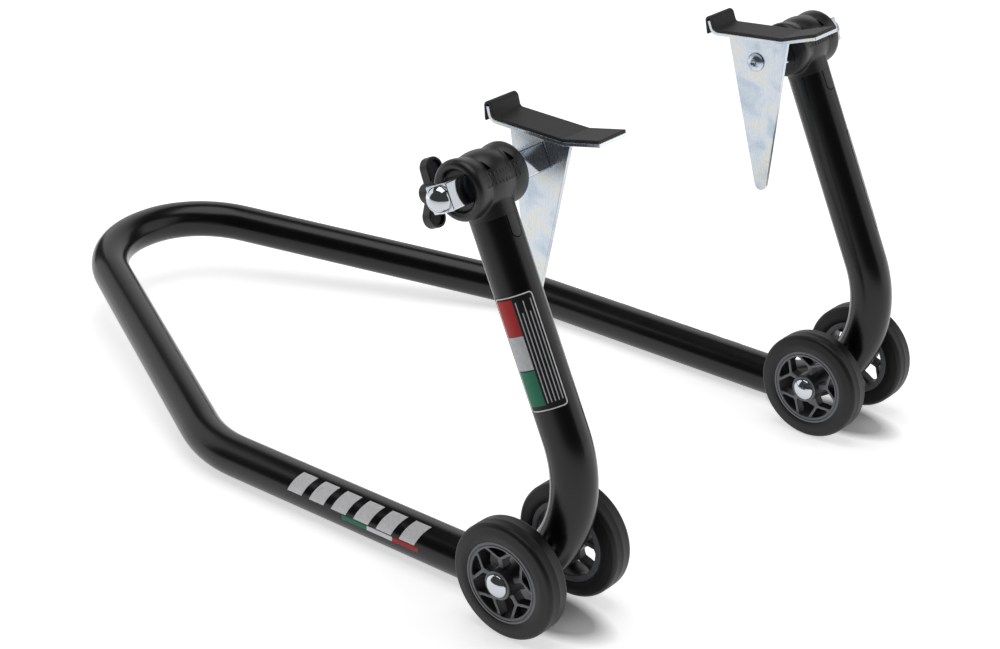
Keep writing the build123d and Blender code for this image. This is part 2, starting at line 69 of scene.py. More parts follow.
def leg_frame(side):
    """X squarely forwards off the upright, Y outwards, Z up the upright, from the bar's axis."""
    forwards = Vector((math.cos(lean), 0, math.sin(lean)))
    outwards = Vector((0, side, 0))
    upwards = Vector((-math.sin(lean), 0, math.cos(lean)))
    turn = Matrix((forwards, outwards, upwards)).transposed().to_4x4()
    return Matrix.Translation((pivot.x, side * leg_y, pivot.z)) @ turn


def support_frame(name, side):
    """X along the cradle, Y outwards, Z up, from the bolt's axis at the middle of the plate."""
    up = Vector(mounts[name + "_pad_top"]["axis"])
    along = Vector((up.z, 0, -up.x))
    turn = Matrix((along, Vector((0, side, 0)), up)).transposed().to_4x4()
    swing = Vector(joints[name + "_support_swing"]["pos_m"])
    return Matrix.Translation(swing) @ turn


def wheel_frame(name, place, side):
    """Z along the axle and away from the tube, X to the rest position of one spoke."""
    spoke = math.radians(SPOKE_AT[name] + (WHEEL_STAGGER if place == "inner" else 0))
    away = side if place == "outer" else -side
    x = Vector((math.cos(spoke), 0, math.sin(spoke)))
    z = Vector((0, away, 0))
    turn = Matrix((x, z.cross(x), z)).transposed().to_4x4()
    centre = Vector(joints[name + "_" + place + "_wheel_turn"]["pos_m"])
    return Matrix.Translation(centre) @ turn


# ---- sizes in mm

TUBE_R = 19.0
FOOT_BEND_R = 105.0
KNEE_FROM_HANDLE = 339.0
KNEE_SPACING = 448.0
KNEE_BEND_R = 141.0
HANDLE_SPACING = 129.0
HANDLE_HEIGHT = 68.6
HANDLE_STRAIGHT = 4.0
HEAD_TO_TUBE = 28.5
HEAD_LENGTH = 59.0
HEAD_D = 49.0
HEAD_WAIST = 4.6
HEAD_LIP = 4.2
LIP_START = 1.5  # the end lobes start to roll over this much before their crests
SWELLING_TO = 24
HEAD_GRAIN = 0.8
HEAD_ROUNDS = 12
NECK_SPARE = 8.0  # the neck is made long and cut off square at the tube
CREST_SPACING = 26.0
DISH_D = 35.0
DISH_DEPTH = 3.5
DISH_SOFTENING = 1.0  # the corner rounding lifts the dish's floor by this much
DISH_WALL_LEAN = 1.5
TONGUE_W = 9.4
CUTTER_SPARE = 5.0  # how far a cutter reaches past the surface it opens
TONGUE_SLOT_DEPTH = 2.5
TONGUE_SLOT_EDGE = 0.3
TONGUE_SLOT = 10.9  # the gap round the tongue is drawn a little wider than it is
TONGUE_LENGTH = 13.5
TONGUE_RISE = 0.25
TONGUE_SINK = 2.0
TONGUE_TIP_HALF = 0.2
NOTCH_DEPTH = 3.5
NOTCH_LENGTH = 11.0
NOTCH_W = 6.0
NOTCH_TURN = 68.0
NOTCH_AT = (-15.5, 11.5)  # across the head, one in each crease
RIB_COUNT = 12
RIB_PITCH = 3.4
RIB_FROM = -19.0
RIB_LENGTH = 9.0
RIB_TURN = 88.0
RIB_RISE = 0.35
RIB_W = 1.6
RIB_ROOT = 1.5
BOSS_D = 21.0
BOSS_REACH = 38.0
BOSS_FROM = 5.0
BOSS_ROOT_FLARE = 3.5
BOSS_SKIN_FLARE = 2.2
BOSS_SKIN_AT = 20.0
BOSS_STRAIGHT_FROM = 26.0
BORE_FROM = 8.0
INSERT_D = 12.0
HEAD_EDGE = 0.7
WING_EDGE = 0.4
BAR_END_EDGE = 0.8
SHEET_EDGE = 0.5
RUBBER_EDGE = 0.6
WING_SPAN = 56.0
WING_EAR_D = 17.5
WING_WEB = 7.5
WING_THICK = 9.0
WING_HUB_D = 17.0
WING_HUB_LENGTH = 17.0
WING_HUB_DROP = 3.0
WING_REACH = 54.5
WING_POCKET = 2.2
WING_RIM_W = 2.2
WING_ROOT = 2.0
WING_HUB_EDGE = 2.5
WING_GRAIN = 0.5
WING_ROUNDS = 10
POCKET_FROM_HUB = 2.0
POCKET_ROOT_HALF = 0.9
WING_TURN = {"left": 20.0, "right": -21.0}
BAR_SIZE = 22.0
BAR_FIT = 0.2
BAR_EDGE = 1.5
BAR_OUTER_END = 48.0
BOLT_D = 10.0
BOLT_FIT = 0.1
BOLT_HEAD_D = 16.5
BOLT_HEAD_RISE = 5.0
BOLT_HEAD_RIM = 1.0
BOLT_HEAD_LIP = 0.3
SHANK_SPARE = 2.0  # the shank runs on this far into its head and its nut
HEX_SIZE = 6.0
HEX_DEPTH = 3.0
NUT_D = 22.0
NUT_RISE = 8.0
NUT_RIM = 1.5
NUT_LIP = 0.4
PLATE_IN = 68.0
PLATE_THICK = 4.0
PLATE_GAP = 0.35
PLATE_TOP = 23.5
PLATE_TOP_W = 62.0
PLATE_OFFSET = 2.0
PLATE_TIP = 118.0
PLATE_TIP_R = 6.0
CRADLE_W = 34.0
CRADLE_THICK = 3.0
CRADLE_BACK = 36.5
CRADLE_FRONT = 36.5
CRADLE_NOSE = 35.5
CRADLE_NOSE_RISE = 13.0
CRADLE_LIP = 12.5
CRADLE_LIP_LEAN = 17.0
CRADLE_BEND_R = 3.0
RUBBER_THICK = 2.5
RUBBER_HOOK = 11.0
COVER_INSET = 0.3
HOOK_THICK = 2.0
HOOK_CORNER = 0.5
HOOK_FLARE = 2.0  # the free end of the cover springs away from the lip
WHEEL_D = 100.0
WHEEL_W = 24.0
TREAD_EDGE_R = 4.0
TYRE_FLANK_R = 42.0
TYRE_FLANK_FALL = 1.0
BEAD_EDGE = 0.8
SEAM_W = 0.5
SEAM_RISE = 0.12
RIM_D = 70.0
RIM_RING_W = 5.0
RIM_INSET = 0.3
RIM_UNDER_TYRE = 0.5
RIM_EDGE = 0.6
RIM_GRAIN = 0.55
RIM_ROUNDS = 4
GROOVE_W = 1.2
GROOVE_DEPTH = 0.9
GROOVE_EDGE = 0.2
HUB_D = 25.0
HUB_LENGTH = 33.0
HUB_EDGE = 0.5
END_FLOAT = 0.4  # gap from hub to cap
BUSH_D = 17.0
SPOKES = 5
SPOKE_W = 2.8
SPOKE_STEM_W = 4.6
SPOKE_FORK_R = 20.0
SPOKE_FORK_ANGLE = 25.0
SPOKE_DEPTH = 9.0
SPOKE_FALL = 3.2  # from the ring to the wheel's middle
SPOKE_ROOT = 1.0
SPOKE_BELOW_FACE = 1.0
SPOKE_AT = {"left": 51.0, "right": 98.0}
WHEEL_STAGGER = 36.0
CAP_D = 20.0
CAP_RISE = 4.2
CAP_RIM = 0.8
CAP_LIP = 0.3
LABEL_LENGTH = 93.0
LABEL_DOWN = 87.5
LABEL_TURN = 66.0
LABEL_WRAP = 106.0
BLOCK_TURN = 90.5
BLOCK_WRAP = 47.0
BORDER_INSET = 0.6
BORDER_W = 0.9
BORDER_CORNER_R = 3.0
RULE_COUNT = 5
RULE_FROM = 24.0
RULE_PITCH = 9.0
RULE_WRAP = 2.4
RULE_MARGIN = 6.0
RULE_SHORTER = 9.0  # every other rule stops short by this much
STICKER_OFF = 0.05
VINYL_THICK = 0.15
INK_THICK = 0.08
# each block's top and bottom, measured down the upright from the bar's axis
LABEL_BLOCKS = ((90.5, 119.5, "red"), (119.5, 146.5, "silver"), (147.5, 175.5, "green"))
STRIPE_COUNT = 6
STRIPE_PITCH = 26.0
STRIPE_W = 17.0
STRIPE_SLANT = 22.0
STRIPES_FROM_AXLE = 125.0
STRIPE_WRAP = 62.0
STRIPE_TURN = 48.0
BAND_WRAP = 12.0
BAND_TURN = 88.0
BAND_LENGTH = 87.0
BAND_FROM_AXLE = 116.0
BAND_GAP = 0.2
FLOOR_GLOW = 0.6
FOOT_SHADE_LENGTH = 130.0
FOOT_SHADE_W = 58.0
WORLD_LIGHT = 0.06
LEFT_LIGHT = 9.0
RIGHT_LIGHT = 12.0
BACK_LIGHT = 14.0
TOP_LIGHT = 22.0

# ---- mesh helpers


def to_object(name, mesh_data):
    obj = bpy.data.objects.new(name, mesh_data)
    bpy.context.scene.collection.objects.link(obj)
    return obj


def finish_mesh(mesh, name, material, place=None, smooth=True, sharp=None):
    """Turn a bmesh in mm into an object in metres, in place."""
    bmesh.ops.recalc_face_normals(mesh, faces=mesh.faces)
    matrix = (place or Matrix()) @ Matrix.Scale(MM, 4)
    bmesh.ops.transform(mesh, matrix=matrix, verts=mesh.verts)
    if matrix.determinant() < 0:
        bmesh.ops.reverse_faces(mesh, faces=mesh.faces)
    for face in mesh.faces:
        face.smooth = smooth
    if sharp is not None:
        for edge in mesh.edges:
            if len(edge.link_faces) == 2 and edge.calc_face_angle(0) > math.radians(sharp):
                edge.smooth = False
    data = bpy.data.meshes.new(name)
    mesh.to_mesh(data)
    mesh.free()
    obj = to_object(name, data)
    if material is not None:
        data.materials.append(material)
    return obj


def lathe(mesh, profile, steps=96, axis="Z"):
    """Closed solid of revolution from (radius, height) points, low to high on the outside."""
    rings = []
    for radius, height in profile:
        ring = []
        if radius < 1e-6:
            ring = [mesh.verts.new((0, 0, height))]
        else:
            for step in range(steps):
                angle = 2 * math.pi * step / steps
                ring.append(mesh.verts.new((radius * math.cos(angle), radius * math.sin(angle), height)))
        rings.append(ring)
    pairs = list(zip(rings, rings[1:]))
    if len(rings[0]) > 1 and len(rings[-1]) > 1:
        pairs.append((rings[-1], rings[0]))
    for low, high in pairs:
        for step in range(steps):
            nxt = (step + 1) % steps
            if len(low) == 1 and len(high) == 1:
                continue
            if len(low) == 1:
                mesh.faces.new((low[0], high[nxt], high[step]))
            elif len(high) == 1:
                mesh.faces.new((low[step], low[nxt], high[0]))
            else:
                mesh.faces.new((low[step], low[nxt], high[nxt], high[step]))
    if axis == "Y":
        turn = Matrix.Rotation(-math.pi / 2, 4, "X")
        made = [vert for ring in rings for vert in ring]
        bmesh.ops.transform(mesh, matrix=turn, verts=made)
    return [vert for ring in rings for vert in ring]


def prism(mesh, outline, low, high, matrix=None):
    """Closed solid between two heights from a flat outline of (x, y) points."""
    bottom = [mesh.verts.new((x, y, low)) for x, y in outline]
    top = [mesh.verts.new((x, y, high)) for x, y in outline]
    mesh.faces.new(list(reversed(bottom)))
    mesh.faces.new(top)
    for step in range(len(outline)):
        nxt = (step + 1) % len(outline)
        mesh.faces.new((bottom[step], bottom[nxt], top[nxt], top[step]))
    made = bottom + top
    if matrix is not None:
        bmesh.ops.transform(mesh, matrix=matrix, verts=made)
    return made


def arc(centre, radius, start, end, steps=12):
    """Points on an arc, angles in degrees."""
    points = []
    for step in range(steps + 1):
        angle = math.radians(start + (end - start) * step / steps)
        points.append((centre[0] + radius * math.cos(angle), centre[1] + radius * math.sin(angle)))
    return points


def slot_outline(start, end, radius, steps=10):
    """Outline of a bar with round ends between two points."""
    angle = math.degrees(math.atan2(end[1] - start[1], end[0] - start[0]))
    far_end = arc(end, radius, angle - 90, angle + 90, steps)
    return far_end + arc(start, radius, angle + 90, angle + 270, steps)


def settled(obj):
    """Apply an object's modifiers to its mesh."""
    graph = bpy.context.evaluated_depsgraph_get()
    data = bpy.data.meshes.new_from_object(obj.evaluated_get(graph))
    obj.modifiers.clear()
    old = obj.data
    obj.data = data
    bpy.data.meshes.remove(old)
    return obj


def moulded(mesh, name, grain, rounds):
    """Fuse overlapping solids into one skin and soften every inner and outer corner."""
    obj = finish_mesh(mesh, name, None)
    remesh = obj.modifiers.new("fuse", "REMESH")
    remesh.mode = "VOXEL"
    remesh.voxel_size = grain * MM
    remesh.use_smooth_shade = True
    soften = obj.modifiers.new("soften", "SMOOTH")
    soften.factor = 0.5
    soften.iterations = rounds
    return settled(obj)


def cut(obj, mesh, place=None):
    """Take a solid away from an object."""
    tool = finish_mesh(mesh, "cutter", None, place)
    bpy.context.view_layer.update()
    modifier = obj.modifiers.new("cut", "BOOLEAN")
    modifier.operation = "DIFFERENCE"
    modifier.solver = "EXACT"
    modifier.object = tool
    settled(obj)
    bpy.data.objects.remove(tool)
    return obj


def all_smooth(obj):
    for polygon in obj.data.polygons:
        polygon.use_smooth = True


def soft_edges(obj, width, segments=3, angle=50):
    """Round an object's sharp edges."""
    bevel = obj.modifiers.new("edges", "BEVEL")
    bevel.width = width * MM
    bevel.segments = segments
    bevel.limit_method = "ANGLE"
    bevel.angle_limit = math.radians(angle)
    bevel.harden_normals = True
    return obj


def copy_of(obj, name, matrix):
    """A second object from the same mm-built mesh, in place."""
    data = obj.data.copy()
    data.transform(matrix)
    if matrix.determinant() < 0:
        data.flip_normals()
    return to_object(name, data)


def belongs(obj, body, slot, *nodes):
    """The piece rides on a body and stands for CAD nodes, which it hides. The slot is not used."""
    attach(obj, body)
    if nodes:
        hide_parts(*nodes)
    return obj


# ---- material helpers


def colour(code):
    """Linear colour from an sRGB hex value."""
    parts = [int(code[place:place + 2], 16) / 255 for place in (1, 3, 5)]
    linear = [p / 12.92 if p <= 0.04045 else ((p + 0.055) / 1.055) ** 2.4 for p in parts]
    return (*linear, 1.0)


def node(tree, kind, settings=None, links=None, stops=()):
    """Add a node; settings go to its properties or sockets, links join its inputs.

    Stops are (position, shade) pairs for a colour ramp, a shade being hex or a grey level.
    """
    made = tree.nodes.new(kind)
    for key, value in (settings or {}).items():
        if isinstance(key, str) and hasattr(made, key):
            setattr(made, key, value)
        else:
            made.inputs[key].default_value = value
    for key, source in (links or {}).items():
        tree.links.new(source, made.inputs[key])
    for number, (position, shade) in enumerate(stops):
        elements = made.color_ramp.elements
        element = elements[number] if number < len(elements) else elements.new(position)
        element.position = position
        element.color = colour(shade) if isinstance(shade, str) else (shade, shade, shade, 1)
    return made


def start_material(name, base, metallic, roughness, **extra):
    material = bpy.data.materials.new(name)
    material.use_nodes = True
    material.diffuse_color = colour(base)
    tree = material.node_tree
    shader = tree.nodes["Principled BSDF"]
    shader.inputs["Base Color"].default_value = colour(base)
    shader.inputs["Metallic"].default_value = metallic
    shader.inputs["Roughness"].default_value = roughness
    for key, value in extra.items():
        shader.inputs[key.replace("_", " ")].default_value = value
    return material, tree, shader


# ---- finishes


def powder_coat():
    """Satin black powder coat, sprayed and baked: a fine orange peel breaks the highlight."""
    material, tree, shader = start_material("satin_black_powder_coat", "#050506", 0.0, 0.24)
    shader.inputs["Specular IOR Level"].default_value = 0.4
    place = node(tree, "ShaderNodeTexCoord").outputs["Object"]
    # real peel is about 0.6 mm across, drawn at 1.2 mm so that it shows
    peel = node(
        tree,
        "ShaderNodeTexNoise",
        {"Scale": 1 / (1.2 * MM), "Detail": 3.0, "Roughness": 0.5},
        {"Vector": place},
    )
    # handling dulls the coat in soft patches about 60 mm across
    patches = node(tree, "ShaderNodeTexNoise", {"Scale": 1 / (60 * MM)}, {"Vector": place})
    dulled = node(
        tree,
        "ShaderNodeMapRange",
        {"To Min": 0.2, "To Max": 0.28},
        {"Value": patches.outputs["Fac"]},
    )
    tree.links.new(dulled.outputs["Result"], shader.inputs["Roughness"])
    bump = node(
        tree,
        "ShaderNodeBump",
        {"Strength": 0.12, "Distance": 0.08 * MM},
        {"Height": peel.outputs["Fac"]},
    )
    tree.links.new(bump.outputs["Normal"], shader.inputs["Normal"])
    tone = node(
        tree,
        "ShaderNodeValToRGB",
        links={"Fac": patches.outputs["Fac"]},
        stops=((0.3, "#040405"), (0.7, "#070708")),
    )
    tree.links.new(tone.outputs["Color"], shader.inputs["Base Color"])
    return material


def moulded_nylon():
    """Glass-filled nylon, injection moulded: an even spark-eroded grain and a soft broad shine."""
    material, tree, shader = start_material("moulded_black_nylon", "#08080a", 0.0, 0.4, IOR=1.53)
    place = node(tree, "ShaderNodeTexCoord").outputs["Object"]
    # spark-eroded grain, 0.5 mm
    grain = node(
        tree,
        "ShaderNodeTexVoronoi",
        {"Scale": 1 / (0.5 * MM)},
        {"Vector": place},
    )
    flow = node(tree, "ShaderNodeTexNoise", {"Scale": 1 / (18 * MM), "Detail": 4.0}, {"Vector": place})
    shine = node(
        tree,
        "ShaderNodeMapRange",
        {"To Min": 0.34, "To Max": 0.46},
        {"Value": flow.outputs["Fac"]},
    )
    tree.links.new(shine.outputs["Result"], shader.inputs["Roughness"])
    tone = node(
        tree,
        "ShaderNodeValToRGB",
        links={"Fac": flow.outputs["Fac"]},
        stops=((0.3, "#08080a"), (0.75, "#0d0d0f")),
    )
    tree.links.new(tone.outputs["Color"], shader.inputs["Base Color"])
    bump = node(
        tree,
        "ShaderNodeBump",
        {"Strength": 0.18, "Distance": 0.05 * MM},
        {"Height": grain.outputs["Distance"]},
    )
    tree.links.new(bump.outputs["Normal"], shader.inputs["Normal"])
    return material


def tyre_rubber():
    """Black wheel rubber, moulded: dry and matt with dust in its pores."""
    material, tree, shader = start_material("black_wheel_rubber", "#090909", 0.0, 0.5, IOR=1.5)
    shader.inputs["Specular IOR Level"].default_value = 0.42
    place = node(tree, "ShaderNodeTexCoord").outputs["Object"]
    pores = node(
        tree,
        "ShaderNodeTexNoise",
        {"Scale": 1 / (0.9 * MM), "Detail": 5.0, "Roughness": 0.65},
        {"Vector": place},
    )
    bloom = node(tree, "ShaderNodeTexNoise", {"Scale": 1 / (14 * MM), "Detail": 3.0}, {"Vector": place})
    tone = node(
        tree,
        "ShaderNodeValToRGB",
        links={"Fac": bloom.outputs["Fac"]},
        stops=((0.3, "#070707"), (0.7, "#0c0c0d")),
    )
    tree.links.new(tone.outputs["Color"], shader.inputs["Base Color"])
    dry = node(
        tree,
        "ShaderNodeMapRange",
        {"To Min": 0.4, "To Max": 0.56},
        {"Value": pores.outputs["Fac"]},
    )
    tree.links.new(dry.outputs["Result"], shader.inputs["Roughness"])
    bump = node(
        tree,
        "ShaderNodeBump",
        {"Strength": 0.22, "Distance": 0.08 * MM},
        {"Height": pores.outputs["Fac"]},
    )
    tree.links.new(bump.outputs["Normal"], shader.inputs["Normal"])
    return material


def pad_rubber():
    """Extruded black rubber strip: fine die lines run along it and the ends look cut."""
    material, tree, shader = start_material("extruded_pad_rubber", "#0c0c0d", 0.0, 0.6, IOR=1.52)
    place = node(tree, "ShaderNodeTexCoord").outputs["Object"]
    # die lines 1.1 mm apart across the strip, so Y is stretched and X is not
    stretched = node(tree, "ShaderNodeMapping", {"Scale": (0.04, 1.0, 0.2)}, {"Vector": place})
    lines = node(
        tree,
        "ShaderNodeTexNoise",
        {"Scale": 1 / (1.1 * MM), "Detail": 3.0, "Roughness": 0.6},
        {"Vector": stretched.outputs["Vector"]},
    )
    specks = node(tree, "ShaderNodeTexNoise", {"Scale": 1 / (0.6 * MM), "Detail": 4.0}, {"Vector": place})
    both = node(
        tree,
        "ShaderNodeMath",
        {"operation": "ADD"},
        {0: lines.outputs["Fac"], 1: specks.outputs["Fac"]},
    )
    tone = node(
        tree,
        "ShaderNodeValToRGB",
        links={"Fac": lines.outputs["Fac"]},
        stops=((0.35, "#09090a"), (0.65, "#151517")),
    )
    tree.links.new(tone.outputs["Color"], shader.inputs["Base Color"])
    bump = node(
        tree,
        "ShaderNodeBump",
        {"Strength": 0.35, "Distance": 0.1 * MM},
        {"Height": both.outputs["Value"]},
    )
    tree.links.new(bump.outputs["Normal"], shader.inputs["Normal"])
    return material


def rim_plastic():
    """Grey polypropylene, injection moulded: mid grey faces with painted shade on the walls in the openings,
    slightly waxy shine.
    """
    material, tree, shader = start_material("grey_polypropylene", "#67686c", 0.0, 0.42, IOR=1.49)
    coordinates = node(tree, "ShaderNodeTexCoord")
    place = coordinates.outputs["Object"]
    flow = node(tree, "ShaderNodeTexNoise", {"Scale": 1 / (9 * MM), "Detail": 4.0}, {"Vector": place})
    # painted shade: the walls in the openings, which face across the axle, are darkened to a deep grey; the
    # flat faces keep the mid grey
    facing = node(tree, "ShaderNodeSeparateXYZ", links={"Vector": coordinates.outputs["Normal"]})
    flatness = node(tree, "ShaderNodeMath", {"operation": "ABSOLUTE"}, {0: facing.outputs["Y"]})
    wall_shade_mask = node(
        tree,
        "ShaderNodeValToRGB",
        links={"Fac": flatness.outputs["Value"]},
        stops=((0.35, 0.0), (0.8, 1.0)),
    )
    pale = node(
        tree,
        "ShaderNodeValToRGB",
        links={"Fac": flow.outputs["Fac"]},
        stops=((0.25, "#626367"), (0.75, "#6e7074")),
    )
    # painted shade colour for the walls in the openings
    dark = node(
        tree,
        "ShaderNodeValToRGB",
        links={"Fac": flow.outputs["Fac"]},
        stops=((0.25, "#1d1e20"), (0.75, "#26272a")),
    )
    tone = node(
        tree,
        "ShaderNodeMix",
        {"data_type": "RGBA"},
        {"Factor": wall_shade_mask.outputs["Color"], "A": dark.outputs["Color"], "B": pale.outputs["Color"]},
    )
    tree.links.new(tone.outputs["Result"], shader.inputs["Base Color"])
    shine = node(
        tree,
        "ShaderNodeMapRange",
        {"To Min": 0.36, "To Max": 0.5},
        {"Value": flow.outputs["Fac"]},
    )
    tree.links.new(shine.outputs["Result"], shader.inputs["Roughness"])
    grain = node(tree, "ShaderNodeTexNoise", {"Scale": 1 / (0.5 * MM), "Detail": 2.0}, {"Vector": place})
    bump = node(
        tree,
        "ShaderNodeBump",
        {"Strength": 0.1, "Distance": 0.04 * MM},
        {"Height": grain.outputs["Fac"]},
    )
    tree.links.new(bump.outputs["Normal"], shader.inputs["Normal"])
    return material


def chrome():
    """Bright chromium plate on drawn bar: a mirror, with faint draw lines under it."""
    material, tree, shader = start_material("bright_chrome_plate", "#c6cad0", 1.0, 0.07)
    place = node(tree, "ShaderNodeTexCoord").outputs["Object"]
    # draw lines along the bar, 0.7 mm apart
    stretched = node(tree, "ShaderNodeMapping", {"Scale": (1.0, 0.02, 1.0)}, {"Vector": place})
    lines = node(
        tree,
        "ShaderNodeTexNoise",
        {"Scale": 1 / (0.7 * MM), "Detail": 2.0},
        {"Vector": stretched.outputs["Vector"]},
    )
    haze = node(
        tree,
        "ShaderNodeMapRange",
        {"To Min": 0.05, "To Max": 0.12},
        {"Value": lines.outputs["Fac"]},
    )
    tree.links.new(haze.outputs["Result"], shader.inputs["Roughness"])
    bump = node(
        tree,
        "ShaderNodeBump",
        {"Strength": 0.04, "Distance": 0.02 * MM},
        {"Height": lines.outputs["Fac"]},
    )
    tree.links.new(bump.outputs["Normal"], shader.inputs["Normal"])
    return material


def zinc():
    """Bright passivated zinc on rolled steel: bluish silver with faint straw-coloured clouds."""
    material, tree, shader = start_material("blue_passivated_zinc", "#b9c2cc", 1.0, 0.26)
    place = node(tree, "ShaderNodeTexCoord").outputs["Object"]
    # passivation clouds, about 22 mm across
    clouds = node(
        tree,
        "ShaderNodeTexNoise",
        {"Scale": 1 / (22 * MM), "Detail": 4.0, "Distortion": 0.6},
        {"Vector": place},
    )
    tone = node(
        tree,
        "ShaderNodeValToRGB",
        links={"Fac": clouds.outputs["Fac"]},
        stops=((0.3, "#b4c1cf"), (0.48, "#ced6df"), (0.62, "#d6d8d4"), (0.8, "#bfc8d4")),
    )
    tree.links.new(tone.outputs["Color"], shader.inputs["Base Color"])
    # rolling grain, 0.8 mm across and long upwards
    stretched = node(tree, "ShaderNodeMapping", {"Scale": (1.0, 1.0, 0.06)}, {"Vector": place})
    grain = node(
        tree,
        "ShaderNodeTexNoise",
        {"Scale": 1 / (0.8 * MM), "Detail": 3.0},
        {"Vector": stretched.outputs["Vector"]},
    )
    shine = node(
        tree,
        "ShaderNodeMapRange",
        {"To Min": 0.2, "To Max": 0.34},
        {"Value": grain.outputs["Fac"]},
    )
    tree.links.new(shine.outputs["Result"], shader.inputs["Roughness"])
    bump = node(
        tree,
        "ShaderNodeBump",
        {"Strength": 0.06, "Distance": 0.03 * MM},
        {"Height": grain.outputs["Fac"]},
    )
    tree.links.new(bump.outputs["Normal"], shader.inputs["Normal"])
    return material


def turned_metal(name, light, dark, rough):
    """Plain turned metal: rings of tool marks 0.6 mm apart."""
    material, tree, shader = start_material(name, light, 1.0, rough)
    place = node(tree, "ShaderNodeTexCoord").outputs["Object"]
    marks = node(
        tree,
        "ShaderNodeTexWave",
        {"Scale": 1 / (0.6 * MM) / 6.3, "bands_direction": "Y", "Distortion": 0.4},
        {"Vector": place},
    )
    tone = node(
        tree,
        "ShaderNodeValToRGB",
        links={"Fac": marks.outputs["Fac"]},
        stops=((0.2, dark), (0.8, light)),
    )
    tree.links.new(tone.outputs["Color"], shader.inputs["Base Color"])
    shine = node(
        tree,
        "ShaderNodeMapRange",
        {"To Min": rough, "To Max": rough + 0.12},
        {"Value": marks.outputs["Fac"]},
    )
    tree.links.new(shine.outputs["Result"], shader.inputs["Roughness"])
    return material


def vinyl(name, light, dark, coat=0.05):
    """Printed vinyl: even ink under a thin clear film, with a slight mottle from the print."""
    material, tree, shader = start_material(name, light, 0.0, 0.45, IOR=1.5)
    shader.inputs["Specular IOR Level"].default_value = 0.3
    shader.inputs["Coat Weight"].default_value = coat
    place = node(tree, "ShaderNodeTexCoord").outputs["Object"]
    mottle = node(tree, "ShaderNodeTexNoise", {"Scale": 1 / (2.5 * MM), "Detail": 4.0}, {"Vector": place})
    tone = node(
        tree,
        "ShaderNodeValToRGB",
        links={"Fac": mottle.outputs["Fac"]},
        stops=((0.3, dark), (0.7, light)),
    )
    tree.links.new(tone.outputs["Color"], shader.inputs["Base Color"])
    film = node(
        tree,
        "ShaderNodeMapRange",
        {"To Min": 0.4, "To Max": 0.52},
        {"Value": mottle.outputs["Fac"]},
    )
    tree.links.new(film.outputs["Result"], shader.inputs["Roughness"])
    return material


POWDER = powder_coat()
NYLON = moulded_nylon()
TYRE = tyre_rubber()
PAD = pad_rubber()
RIM = rim_plastic()
CHROME = chrome()
ZINC = zinc()
STEEL = turned_metal("turned_steel", "#8d8f92", "#7b7d80", 0.3)
BRASS = turned_metal("turned_brass", "#b9974f", "#a5843f", 0.28)
BLACK_VINYL = vinyl("black_vinyl", "#0b0b0c", "#080809")
WHITE_INK = vinyl("white_ink", "#e9e9ea", "#d9d9dc")
SILVER_INK = vinyl("silver_ink", "#c9cacd", "#b6b8bc")
RED_INK = vinyl("red_ink", "#b8151a", "#a61217")
GREEN_INK = vinyl("green_ink", "#0f7a5c", "#0c6c50")
INKS = {"red": RED_INK, "silver": SILVER_INK, "green": GREEN_INK, "white": WHITE_INK}


# ---- bent tube


def flat_path(corners, radii, step):
    """Points along straight lines joined by tangent arcs, one point per step degrees."""
    points = [corners[0]]
    for before, corner, after, radius in zip(corners, corners[1:], corners[2:], radii):
        back = (before - corner).normalized()
        on = (after - corner).normalized()
        half = back.angle(on) / 2
        start = corner + back * (radius / math.tan(half))
        centre = corner + (back + on).normalized() * (radius / math.sin(half))
        spoke = start - centre
        axis = spoke.cross(-back).normalized()
        turn = math.pi - 2 * half
        count = max(2, math.ceil(math.degrees(turn) / step))
        for number in range(count + 1):
            points.append(centre + Matrix.Rotation(turn * number / count, 3, axis) @ spoke)
    points.append(corners[-1])
    return points


def swept(mesh, points, radius, steps):
    """Round skin along a line of points, closed at both ends."""
    tangents = []
    for number, point in enumerate(points):
        before = points[max(number - 1, 0)]
        after = points[min(number + 1, len(points) - 1)]
        tangents.append((after - before).normalized())
    side = tangents[0].orthogonal().normalized()
    rings = []
    for point, tangent in zip(points, tangents):
        side = (side - tangent * side.dot(tangent)).normalized()
        other = tangent.cross(side)
        ring = []
        for step in range(steps):
            angle = 2 * math.pi * step / steps
            ring.append(mesh.verts.new(point + (side * math.cos(angle) + other * math.sin(angle)) * radius))
        rings.append(ring)
    for low, high in zip(rings, rings[1:]):
        for step in range(steps):
            nxt = (step + 1) % steps
            mesh.faces.new((low[step], low[nxt], high[nxt], high[step]))
    mesh.faces.new(rings[0])
    mesh.faces.new(rings[-1])


up_leg = Vector((-math.sin(lean), 0, math.cos(lean)))
bar_at = Vector((pivot.x, leg_y, pivot.z)) / MM
foot_at = bar_at - up_leg * ((bar_at.z - TUBE_R) / up_leg.z)
back_of_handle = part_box("frame_tube")[0].x / MM + TUBE_R
knee_at = Vector((back_of_handle + KNEE_FROM_HANDLE, KNEE_SPACING / 2, TUBE_R))
handle_at = Vector((back_of_handle, HANDLE_SPACING / 2, HANDLE_HEIGHT))
half_run = [bar_at - up_leg * HEAD_TO_TUBE, foot_at, knee_at, handle_at]
other_half = [Vector((p.x, -p.y, p.z)) for p in reversed(half_run)]
handle_turn = (handle_at - knee_at).angle(Vector((0, -1, 0)))
handle_r = (HANDLE_SPACING - HANDLE_STRAIGHT) / 2 / math.tan(handle_turn / 2)
bends = [FOOT_BEND_R, KNEE_BEND_R, handle_r]

